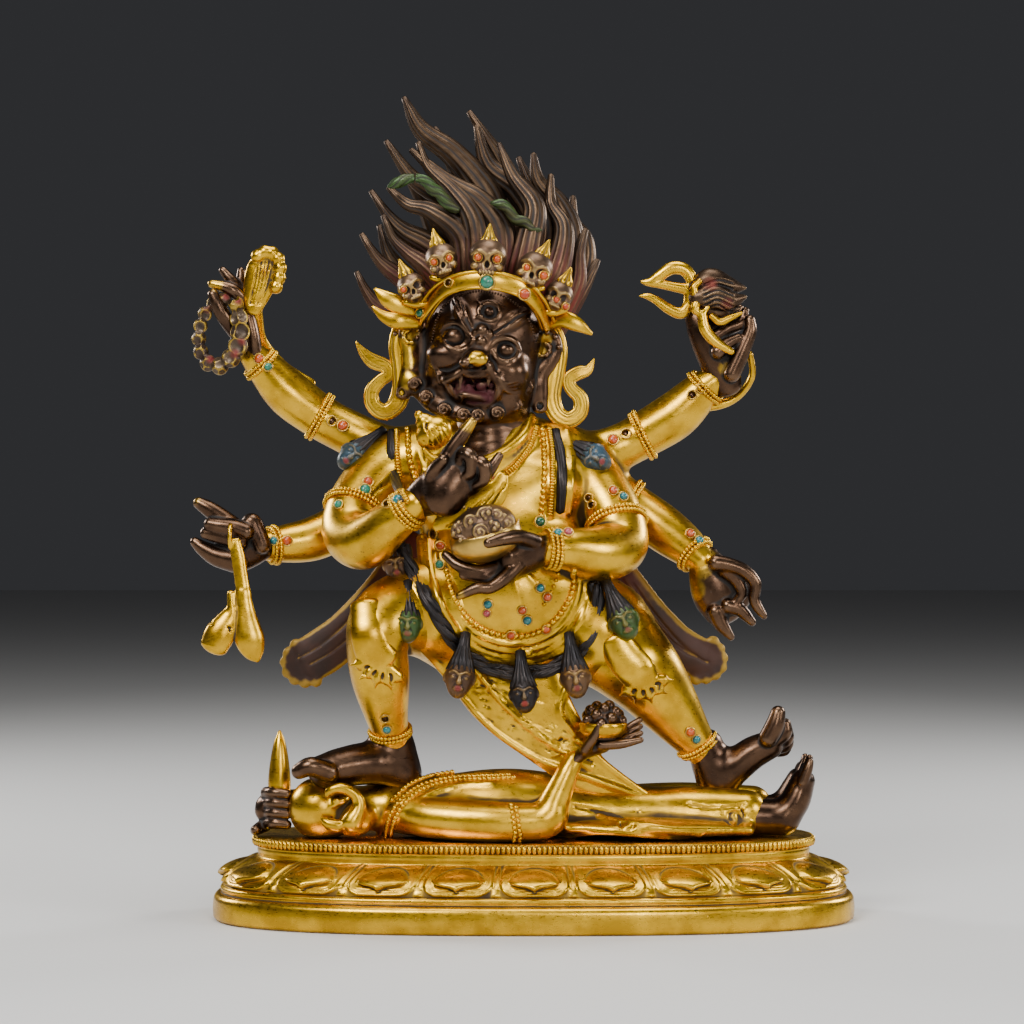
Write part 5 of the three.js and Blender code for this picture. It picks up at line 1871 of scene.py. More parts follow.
@dataclass
class Scarves:
    """The two gilt ribbons that fall from the crown and curl up at their ends."""

    depth: float = -4.0
    sides: int = 44
    left: tuple[Mark, ...] = (
        (415, 316, 3.2), (404, 328, 4.2), (400, 346, 4.6), (402, 366, 4.4), (402, 388, 4.0), (396, 405, 3.7),
        (384, 412, 3.4), (373, 404, 3.1), (372, 391, 2.9), (380, 381, 2.6), (389, 374, 2.5), (385, 366, 2.9),
        (373, 361, 3.0), (364, 353, 2.0), (356, 342, 0.4),
    )
    right: tuple[Mark, ...] = (
        (541, 322, 3.2), (552, 334, 4.2), (556, 352, 4.6), (554, 374, 4.4), (551, 396, 4.0), (556, 413, 3.7),
        (568, 420, 3.5), (580, 412, 3.2), (580, 398, 3.0), (571, 388, 2.7), (569, 379, 2.6), (578, 373, 2.8),
        (588, 370, 2.0), (594, 359, 0.4),
    )

    def build(self) -> Shape:
        """Builds the ribbons, broad in the viewer's plane, and returns their shape."""
        shape = Shape.joined([self.ribbon(marks) for marks in (self.left, self.right)])
        cast(shape, "scarves", GILT)
        return shape

    def ribbon(self, marks: Sequence[Mark]) -> Shape:
        """Sweeps one ribbon with a raised rim and incised lines.

        Args:
            marks: column, row and half width.

        Returns:
            The closed ribbon.
        """
        line = smooth_line(LENS.stations(marks, self.depth), 1.1)
        centre, radius = line[:, :3], line[:, 3]
        ahead = unit(np.gradient(centre, axis=0))
        across = np.stack([ahead[:, 2], np.zeros(len(line)), -ahead[:, 0]], -1)
        angle = (np.arange(self.sides) + 0.5) * 2 * math.pi / self.sides
        u = np.sign(np.cos(angle)) * np.abs(np.cos(angle)) ** 0.7
        lines = sum(np.exp(-(((u - m) / 0.055) ** 2)) for m in (-0.62, -0.3, 0.05, 0.4, 0.68))
        v = np.sin(angle) * 0.36 * (1 - 0.3 * lines) * (0.8 + 0.4 * np.abs(u))
        rings = centre[:, None] + across[:, None] * (u[None, :, None] * radius[:, None, None])
        rings[..., 1] += v[None, :] * np.maximum(radius[:, None], 0.8)
        ends = (centre[0] - ahead[0], centre[-1] + ahead[-1] * 0.4)
        # The incised lines darken with grime and painted shade.
        return ringed(list(rings), ends, np.concatenate([np.tile(lines * 1.1 - 0.2, len(line)), [0, 0]]))


@dataclass
class ProneFigure:
    """The elephant-headed figure that lies under the feet."""

    cell: float = 0.8

    def clay(self) -> Clay:
        """Models the figure."""
        clay = Clay((-116, -44, 0.35), (116, 20, 84), self.cell)
        clay.ball((-84.5, -14, 11.5), (12.4, 12, 12.4), soft=2)
        clay.ball((-69, -26, 8), (6.2, 5.6, 6), soft=1.2)
        trunk = [(352, 822, 4.4), (359, 808, 2.9), (357, 797, 2.4), (348, 790, 2.3), (338, 788, 2.2),
                 (330, 791, 2.0), (327, 797, 0.9)]
        clay.tube(LENS.stations(trunk, -30), soft=1.2)
        tusk = [(338, 826, 2.6), (329, 824, 2.3), (321, 818, 0.6)]
        clay.tube(LENS.stations(tusk, -31), soft=0.6)
        clay.ball(LENS.at(352, 824, -27), (5.4, 5, 5), soft=1)
        clay.tube([(-78, -13, 10, 9.5), (-60, -13, 12, 11), (-38, -12, 12, 14.5), (0, -11, 12, 14.4),
                   (40, -8, 9, 13)], soft=5, flat=0.86, wide=(0, 1, 0))
        clay.ball((-10, -12, 15), (26, 14, 11), soft=6)
        clay.tube([(-50, -20, 11, 8), (-40, -26, 9, 8), (-20, -31, 8, 8), (0, -32, 8, 7.4),
                   (7, -32, 10, 6.4)],
                  soft=3)
        clay.tube([(5, -32, 9, 6.6), (9, -31.5, 18, 5.6), (13, -31, 27, 4.4), (15.5, -30, 32, 3.6)], soft=2)
        clay.tube([(32, -12, 9, 10), (60, -12, 10, 10), (84, -11, 9.5, 9)], soft=4)
        clay.tube([(32, 5, 10, 9), (60, 6, 11, 9), (88, 7, 11, 7.6)], soft=4)
        clay.tube([(-52, 2, 13, 6.4), (-76, 8, 13, 5.2), (-98, -2, 13, 4.8)], soft=2)
        clay.tube([(14, -20, 5, 9), (46, -23, 5, 12), (84, -19, 4, 8)], soft=3, flat=0.32, wide=(0, 1, 0))
        return clay

    def detail(self, clay: Clay) -> None:
        """Adds the eye, the ears, folds of cloth and hems."""
        engraved = (
            [(724, 812), (727, 822), (735, 826), (740, 820), (736, 812), (730, 814), (731, 820)],
            [(741, 808), (743, 816), (741, 826)],
            [(688, 803), (703, 807), (725, 808), (746, 804)],
            [(620, 820), (622, 828), (630, 830), (634, 824), (629, 819), (625, 823)],
            [(638, 811), (642, 820), (641, 832)],
            [(575, 806), (600, 812), (622, 818)],
        )
        for marks in engraved:
            clay.line(marks, 0.6, 0.0, soft=0.25, carve=True)
        clay.tube([(-76, -24, 15, 4.6), (-79, -20, 19, 3.2), (-83, -14, 21, 1.6)], soft=1.2, flat=0.35,
                  wide=(0.6, 0.4, 0.6))
        clay.ball(clay.seen(336, 800), (1.8, 1.2, 1.2), soft=0.3)
        folds = (
            [(378, 836), (390, 812), (420, 790), (452, 778), (490, 775)],
            [(386, 838), (398, 816), (426, 796), (458, 786), (492, 784)],
            [(560, 838), (600, 832), (660, 836), (720, 838)],
            [(600, 818), (650, 826), (700, 834)],
        )
        for marks in folds:
            clay.line(marks, 1.3, 0.3, soft=1.0)

    def build(self) -> None:
        """Builds the figure with its hands, feet, cup and radish."""
        clay = self.clay()
        self.detail(clay)
        shape = clay.shape(2.4)
        cast(shape, "prone_body", GILT, Node.PRONE)
        rows = []
        for marks, count in (
            ([(385, 838), (388, 822), (397, 804), (412, 790), (432, 781), (456, 777), (482, 776),
              (508, 775)], 2),
            ([(392, 800), (410, 784), (430, 776), (452, 772)], 1),
            ([(511, 805), (513, 818), (515, 832), (514, 840)], 2),
        ):
            for k in range(count):
                fine = smooth_line([(x + 5.0 * k, y + 2.4 * k, 0.0) for x, y in marks], 4.0)
                rows.append(np.array([clay.seen(px, py, -0.3) for px, py, _ in fine]))
        beads = BeadString.object("prone_beads", rows, 1.9, 1.05, GILT)
        settle(beads, Node.PRONE)
        self.limbs()
        self.cup()

    def limbs(self) -> None:
        """Builds the dark hands and feet."""
        parts = []
        hand = Clay((8, -42, 26), (48, -18, 56), 0.55)
        hand.tube([(15, -30, 31, 3.8), (20, -30, 35, 4.6), (27, -30, 37.5, 4.8)], soft=1.5, flat=0.6,
                  wide=(0, 1, 0))
        for k in range(4):
            y = -34 + k * 3.2
            hand.tube([(26, y, 38, 2.1), (34, y, 38.5 + k * 1.2, 1.9), (41.5, y, 40 + k * 2.4, 1.2)],
                      soft=0.6)
        hand.tube([(20, -34, 36, 2.2), (23, -37, 41, 1.9), (25, -38, 46, 1.3)], soft=0.8)
        parts.append(hand.shape(1.5))
        far = Clay((-116, -20, 0.4), (-90, 6, 32), 0.55)
        far.tube([(-98, -2, 13, 5), (-104, -5, 12, 6), (-106, -6, 10, 5)], soft=2)
        for k in range(4):
            far.tube([(-106, -8, 17 - 4 * k, 2.5), (-103, -13, 17.5 - 4 * k, 2.3),
                      (-97.5, -14, 17 - 4 * k, 1.9)],
                     soft=0.6)
        far.tube([(-107, -6, 4, 2.8), (-110, -11, 2.6, 2.2), (-110, -14, 3.0, 1.8)], soft=0.8)
        parts.append(far.shape(1.5))
        for y, size, lift in ((-12, 1.0, 0.0), (6, 0.95, -1.0)):
            foot = Clay((78, y - 12, 0.4), (116, y + 12, 40), 0.6)
            foot.tube([(82, y, 8, 7.4), (92, y, 7.8, 7.2), (98, y, 7.4, 7)], soft=2)
            foot.tube([(99, y, 8, 7.2), (103.4, y, 14, 7.4), (106.6, y, 22 + lift, 6)], soft=3, flat=0.8,
                      wide=(0, 1, 0))
            for k in range(5):
                dy = (k - 2) * 2.5 * size
                tip = 31.5 + lift - abs(k - 1) * 1.3
                foot.tube([(106, y + dy, 22 + lift, 2.2), (108, y + dy, 27 + lift, 2.0),
                           (109, y + dy, tip, 1.4)],
                          soft=0.5)
            parts.append(foot.shape(1.5))
        shape = Shape.joined(parts)
        cast(shape, "prone_limbs", BRONZE, Node.PRONE)

    def cup(self) -> None:
        """Builds the cup of jewels and the radish."""
        parts = [
            lathe([(0.5, 0), (6.5, 0.4), (9.0, 3.0), (9.4, 6.0), (9.0, 6.6), (8.2, 6.0), (0.5, 5.6)],
                  (27, -30, 40), (0, 0, 1), 24),
            sweep([(-101, -8, 8, 2.2), (-101, -8, 18, 4.4), (-101, -7.6, 26, 4.2), (-101, -7, 36, 2.6),
                   (-101, -6.4, 41.6, 0.5)], Section(sides=14, flat=0.9)),
        ]
        cast(Shape.joined(parts), "prone_cup_and_radish", GILT, Node.PRONE)
        clay = Clay((16, -42, 40), (38, -18, 58), 0.5)
        clay.ball((27, -30, 45), (8, 8, 8.5), soft=0.5)
        for k in range(16):
            angle = k * 2.4
            high = 1 - k / 16
            reach = 7.2 * math.sqrt(1 - high * high * 0.9)
            clay.ball((27 + reach * math.cos(angle), -30 + reach * math.sin(angle), 46 + 7.0 * high), 2.3,
                      soft=0.3)
        cast(clay.shape(1.2), "prone_cup_contents", BRONZE, Node.PRONE)


@dataclass
class HandDrum:
    """The small drum with its folded cloth, hung by a strap."""

    ring_radius: float = 4.6
    ring_tube: float = 0.9

    def build(self) -> None:
        """Builds the drum."""
        clay = Clay((-132, -30, 64), (-102, -10, 130), 0.5)
        ring = []
        for angle in np.linspace(0, 2 * math.pi, 17):
            ring.append((-119.5, -17.4 + self.ring_radius * 0.9 * math.cos(angle),
                         119.0 + self.ring_radius * math.sin(angle), self.ring_tube))
        clay.tube(ring, soft=0.2)
        pieces = (
            ([(235, 541, 2.3), (238, 556, 2.8), (241, 576, 2.8), (244, 596, 2.9)], 0.5, (1, 0, 0)),
            ([(243, 592, 2.9), (245, 610, 3.8), (247, 626, 5.2), (250, 640, 5.8), (254, 652, 4.2),
              (258, 661, 1.0)], 0.55, (1, 0, 0)),
            ([(234, 608, 2.4), (228, 620, 4.4), (220, 634, 6.0), (214, 646, 5.6)], 0.55, (0.9, 0, 0.5)),
            ([(231, 594, 1.6), (232, 614, 1.8)], 1.0, (1, 0, 0)),
        )
        for marks, flat, wide in pieces:
            strip = [(*LENS.at(px, py, -20 - (py - 541) * 0.02), r) for px, py, r in marks]
            clay.tube(strip, soft=0.9, flat=flat, wide=wide)
        for marks in ([(211, 622), (231, 628)], [(210, 625), (231, 631)]):
            clay.line(marks, 0.45, 0.1, soft=0.3, carve=True)
        shape = clay.shape(1.4)
        cast(shape, "drum", GILT, Node.DRUM)


@dataclass
class Skins:
    """The tiger-skin skirt, its paws, the hanging tail of hide and the elephant-hide flaps."""

    body: Clay
    cell: float = 0.7

    def skirt(self) -> Clay:
        """Builds the skirt over the thighs and the hanging point of hide, and returns its clay."""
        clay = Clay((-84, -52, 8), (66, 26, 122), self.cell)
        clay.tube([(-12, 0, 96, 31), (-12, -2, 82, 30)], soft=3, flat=0.86, wide=(1, 0, 0))
        clay.tube([(-20, -2, 86, 23), (-40, -15, 91, 20.6), (-50, -22, 90, 12)], soft=5)
        clay.tube([(4, -2, 86, 23), (26, -9, 81, 21.6), (36, -11.5, 73, 12)], soft=5)
        clay.tube([(-16, -18, 78, 24), (-8, -20, 60, 20), (6, -20, 42, 14), (22, -19, 26, 8.4),
                   (44, -17.5, 15, 2)],
                  soft=2, flat=0.2, wide=(0.75, 0, 0.66))
        edges = (
            [(414, 640), (440, 668), (466, 700), (496, 732), (540, 760), (590, 778), (640, 796), (668, 806)],
            [(566, 690), (560, 712), (574, 734), (600, 760), (640, 790), (668, 806)],
            [(470, 660), (500, 700), (540, 736), (590, 768)],
        )
        for marks in edges:
            clay.line(marks, 1.4, 0.2, soft=0.8)
        rng = np.random.default_rng(SEED)
        for _ in range(90):
            share = rng.uniform(0, 1)
            px, py = 470 + 100 * share + rng.uniform(-34, 34), 672 + 84 * share + rng.uniform(-12, 12)
            clay.tube(clay.trace([(px, py, 0.3), (px + 7, py + 3, 0.3)], 0.05), soft=0.2, carve=True)
        shape = clay.shape(2.0)
        cast(shape, "tiger_skirt", GILT)
        return clay

    def paws(self, cover: Clay) -> None:
        """Builds the skin's paws over the knees, laid on the legs.

        Args:
            cover: the skirt's clay.
        """

        def over(px: float, py: float, sink: float) -> Array:
            """Returns the nearest point of the legs or the skirt behind a pixel."""
            found = [np.array(clay.seen(px, py, sink)) for clay in (self.body, cover)]
            return min(found, key=lambda point: point[1])

        parts = []
        for marks, toes in (
            ([(366, 606, 6.4), (368, 632, 7.0), (374, 652, 7.4), (382, 662, 7.2)],
             [(361, 664), (369, 672), (378, 677), (388, 679), (397, 676)]),
            ([(616, 640, 6.4), (624, 656, 7.4), (636, 670, 7.6), (643, 680, 6.6)],
             [(628, 690), (638, 694), (648, 693), (657, 688), (662, 680)]),
        ):
            seats = [(*over(px, py, r * 0.5 - 2.0), r) for px, py, r in marks]
            tips = [over(px, py, -0.5) for px, py in toes]
            low = np.min([m[:3] for m in seats] + [tuple(t) for t in tips], axis=0) - 12
            high = np.max([m[:3] for m in seats] + [tuple(t) for t in tips], axis=0) + 12
            clay = Clay(tuple(low), tuple(high), 0.5)
            clay.tube(seats, soft=2, flat=0.5, wide=(1, 0, 0.2))
            heel = np.array(seats[-1][:3])
            for tip in tips:
                clay.tube([(*(heel + (tip - heel) * 0.5 + (0, -0.4, 0)), 2.3), (*tip, 2.7)], soft=0.8)
                out = unit(tip - heel)
                clay.tube([(*(tip + out * 1.6 + (0, -1.2, 0)), 1.1), (*(tip + out * 4.4 + (0, 0.4, 0)), 0.4)],
                          soft=0.3)
            for first, second in zip(tips, tips[1:]):
                gap = (first + second) / 2 + (0, -2.6, 0)
                clay.tube([(*(gap - (0, 0, 2.4)), 0.9), (*gap, 0.9), (*(gap + (heel - gap) * 0.4), 0.4)],
                          soft=0.3, carve=True)
            parts.append(clay.shape(1.2))
        cast(Shape.joined(parts), "tiger_paws", GILT)

    def flaps(self) -> None:
        """Builds the hide's flaps behind the hips, lined dark, with scalloped feet."""
        lining = []
        for marks, toes in (
            ([(420, 540, 9), (388, 588, 9), (352, 628, 9), (327, 649, 9.6), (312, 658, 9.4), (305, 662, 8.4)],
             [(296, 645), (289, 653), (286, 662), (288, 672), (295, 679), (305, 682), (316, 681)]),
            ([(606, 556, 7), (628, 582, 6.4), (650, 612, 6.8), (674, 640, 7.6), (694, 656, 8.6),
              (703, 660, 7.8)],
             [(713, 642), (719, 649), (722, 658), (721, 667), (715, 674), (706, 678), (696, 679)]),
        ):
            stations = LENS.stations(marks, 13)
            columns = [x for x, _, _, _ in stations]
            clay = Clay((min(columns) - 18, -2, 50), (max(columns) + 18, 26, 136), 0.6)
            first, last = stations[0], stations[-1]
            clay.tube(stations, soft=2, flat=0.2, wide=(last[2] - first[2], 0, first[0] - last[0]))
            end = marks[-1]
            clay.ball(LENS.at(end[0] * 1.6 - marks[-2][0] * 0.6, end[1], 13), (6.4, 1.6, 7.4), soft=1.5)
            for px, py in toes:
                clay.ball(LENS.at(px, py, 13), (2.6, 1.3, 2.6), soft=0.8)
            for shift in (-7, 5):
                fold = [(px + shift, py + shift * 0.5, 0.4) for px, py, _ in marks[1:]]
                clay.tube(clay.trace(fold, 0.0), soft=0.6, carve=True)
            lining.append(clay.shape(1.6))
        shape = Shape.joined(lining)
        near = np.clip(1 - np.abs(shape.points[:, 0] + 11) / 62, 0, 1)
        shape.values["red"] = np.clip(near * 2.2, 0, 1)
        cast(shape, "hide_flaps", HIDE)
        clay = Clay((-52, 4, 40), (30, 34, 170), 1.0)
        clay.tube([(-14, 18, 152, 28), (-13, 21, 118, 33), (-12, 16.5, 60, 15)], soft=2, flat=0.28)
        for k in range(5):
            aside = -24 + k * 12
            fold = []
            for share, middle, z, width in ((0.8, 18, 151, 28), (1.0, 21, 118, 33), (0.55, 17, 68, 17)):
                deep = 0.28 * width * math.sqrt(1 - (aside * share / width) ** 2)
                fold.append((-13 + aside * share, middle + deep - 1.2, z, 2.0))
            clay.tube(fold, soft=4)
        shape = clay.shape(3.0)
        # The hollow value is weakened here: less grime and painted shade in recesses, less wear on ridges.
        shape.values["hollow"] *= BACK_GRIME_AND_SHADE
        cast(shape, "hide_back", GILT)

    def hide_feet(self) -> None:
        """Builds the hide's feet, one above the rosary and one behind the upper right wrist."""
        clay = Clay((-124, -20, 168), (-88, 24, 240), 0.5)
        clay.tube([(-92, 14, 178, 5.4), (-102, 12, 186, 4.2), (-110, 7, 197, 3.2),
                   (*LENS.at(254, 312, -2), 3.4)],
                  soft=2, flat=0.5, wide=(1, 0, 0))
        foot = [(252, 312, 3.4), (257, 292, 5.8), (264, 272, 7.2), (269, 260, 6.0)]
        clay.tube(LENS.stations(foot, -6), soft=2, flat=0.36, wide=(1, 0, 0.2))
        for px, py in ((258, 256), (265, 252), (272, 253), (278, 259), (280, 268), (279, 278), (276, 287)):
            clay.ball(LENS.at(px, py, -7.4), (2.8, 2.6, 2.8), soft=0.7)
        for k in range(6):
            line = [(250 + k * 2.6, 304), (254 + k * 3.4, 284), (258 + k * 3.6, 262)]
            clay.line(line, 0.4, 0.0, soft=0.3, carve=True)
        parts = [clay.shape(1.4)]
        clay = Clay((50, -8, 160), (96, 24, 216), 0.7)
        clay.tube([(60, 10, 172, 4), (*LENS.at(716, 405, 5), 2.6), (*LENS.at(738, 396, 4), 2.0),
                   (*LENS.at(752, 376, 2), 1.8), (*LENS.at(750, 354, -1), 1.6)], soft=2, flat=0.8,
                   wide=(0, 1, 0.3))
        parts.append(clay.shape(1.6))
        cast(Shape.joined(parts), "hide_feet", GILT)

    def build(self) -> None:
        """Builds all of the skins."""
        self.paws(self.skirt())
        self.flaps()
        self.hide_feet()


@dataclass
class Garland:
    """The rope of hair under the belly with nine severed heads hung from it."""

    body: Clay
    rope: tuple[Mark, ...] = (
        (404, 545, 3.2), (414, 575, 3.2), (430, 602, 3.2), (446, 630, 3.2), (464, 652, 3.2), (490, 667, 3.4),
        (518, 672, 3.4), (547, 668, 3.4), (574, 655, 3.2), (592, 634, 3.2), (598, 606, 3.0), (594, 582, 2.8),
    )
    heads: tuple[tuple[float, float, float, float, float, str], ...] = (
        (-72, -6, 151, 6.0, 50, "blue"), (24, -12, 150, 6.2, -62, "blue"), (-54, -26, 108, 5.6, -10, "brown"),
        (-49, -36, 85, 6.2, 0, "green"), (-29, -38, 64, 6.6, 8, "brown"), (-4, -40, 58, 6.2, -5, "dark"),
        (16, -37, 64, 6.6, -8, "brown"), (35, -32, 86, 6.6, -24, "green"), (34, -22, 112, 5.8, -50, "brown"),
    )

    def build(self) -> None:
        """Builds the rope, the hair of the heads and the heads."""
        main = self.body.trace(self.rope, -1.2)
        main = [(x, min(y, -27.0), z, r) for x, y, z, r in main]
        fine = Section(sides=40, flat=0.85, ridges=9, depth=0.18, twist=0.25)
        strands = []
        line = smooth_line(main, 4.0)
        for turn in range(3):
            lane = []
            for k, (x, y, z, r) in enumerate(line):
                angle = k * 0.75 + turn * 2.09
                across, up = 1.3 * math.cos(angle), 1.3 * math.sin(angle)
                lane.append((x + across, y + 0.8 * math.sin(angle), z + up, r * 0.55))
            strands.append(sweep(lane, fine, step=1.2))
        for marks in (
            [(392, 432, 2.0), (392, 450, 2.2), (394, 475, 2.2), (403, 500, 2.0)],
            [(555, 430, 2.0), (560, 452, 2.2), (562, 480, 2.2), (560, 512, 2.0)],
        ):
            strands.append(sweep(self.body.trace(marks, -0.4), fine, step=1.2))
        finishes = {"blue": BLUE_PAINT, "green": GREEN_PAINT, "brown": BROWN_PAINT, "dark": DARK_HAIR}
        kinds: dict[str, list[Shape]] = {name: [] for name in finishes}
        for x, y, z, r, lean, kind in self.heads:
            up = upward(lean)
            middle = np.array((x, y, z), float)
            root = middle + up * r * 0.45 + (0, 1.0, 0)
            strands.append(sweep([(*root, r * 0.92), (*(middle + up * r * 1.15 + (0, 1.8, 0)), r * 0.66),
                                  (*(middle + up * r * 1.9 + (0, 3, 0)), 2.6),
                                  (*(middle + up * r * 2.7 + (0, 4.4, 0)), 2.0)],
                                 Section(sides=60, ridges=15, depth=0.14, twist=0.05), step=1.2))
            kinds[kind].append(self.face(middle, r, lean))
        rope = Shape.joined(strands)
        rope.values.pop("share", None)
        cast(rope, "garland_hair", DARK_HAIR)
        for kind, shapes in kinds.items():
            cast(Shape.joined(shapes), f"garland_heads_{kind}", finishes[kind])

    def face(self, middle: Array, r: float, lean: float) -> Shape:
        """Models one severed head.

        Args:
            middle: its centre.
            r: its half width.
            lean: degrees by which its top leans to the viewer's right.

        Returns:
            Its mesh, with the lips marked as pigment.
        """
        clay = Clay(tuple(middle - r * 1.9), tuple(middle + r * 1.9), 0.45)
        spot = head_map(middle, r, lean)
        clay.ball(spot(0, 0, 0.1), (r * 0.88, r * 0.82, r * 0.95), soft=1, lean=lean)
        clay.ball(spot(0, 0.08, -0.58), (r * 0.56, r * 0.6, r * 0.6), soft=2.5, lean=lean)
        clay.tube([(*spot(0, 0.74, 0.3), r * 0.09), (*spot(0, 0.84, -0.16), r * 0.13)], soft=1.0)
        clay.ball(spot(0, 0.8, -0.18), (r * 0.2, r * 0.13, r * 0.1), soft=0.6, lean=lean)
        for side in (-1, 1):
            clay.ball(spot(0.36 * side, 0.84, 0.14), (r * 0.24, r * 0.14, r * 0.13), soft=0.5, lean=lean,
                      carve=True)
            clay.ball(spot(0.36 * side, 0.68, 0.12), (r * 0.17, r * 0.14, r * 0.1), soft=0.1, lean=lean)
            clay.tube([(*spot(0.1 * side, 0.82, 0.34), r * 0.06), (*spot(0.36 * side, 0.8, 0.48), r * 0.08),
                       (*spot(0.66 * side, 0.6, 0.36), r * 0.04)], soft=0.6)
            clay.tube([(*spot(0.2 * side, 0.82, -0.24), r * 0.05),
                       (*spot(0.44 * side, 0.64, -0.6), r * 0.05)],
                      soft=0.8, carve=True)
            clay.ball(spot(0.84 * side, 0.1, 0.0), (r * 0.14, r * 0.2, r * 0.3), soft=0.8, lean=lean)
        clay.ball(spot(0, 0.72, -0.54), (r * 0.3, r * 0.14, r * 0.12), soft=0.6, lean=lean)
        clay.tube([(*spot(-0.24, 0.82, -0.56), r * 0.04), (*spot(0.24, 0.82, -0.56), r * 0.04)], soft=0.2,
                  carve=True)
        shape = clay.shape(1.2)
        shape.paint("red", [(*spot(0, 0.84, -0.54), r * 0.2)], 0.8)
        return shape


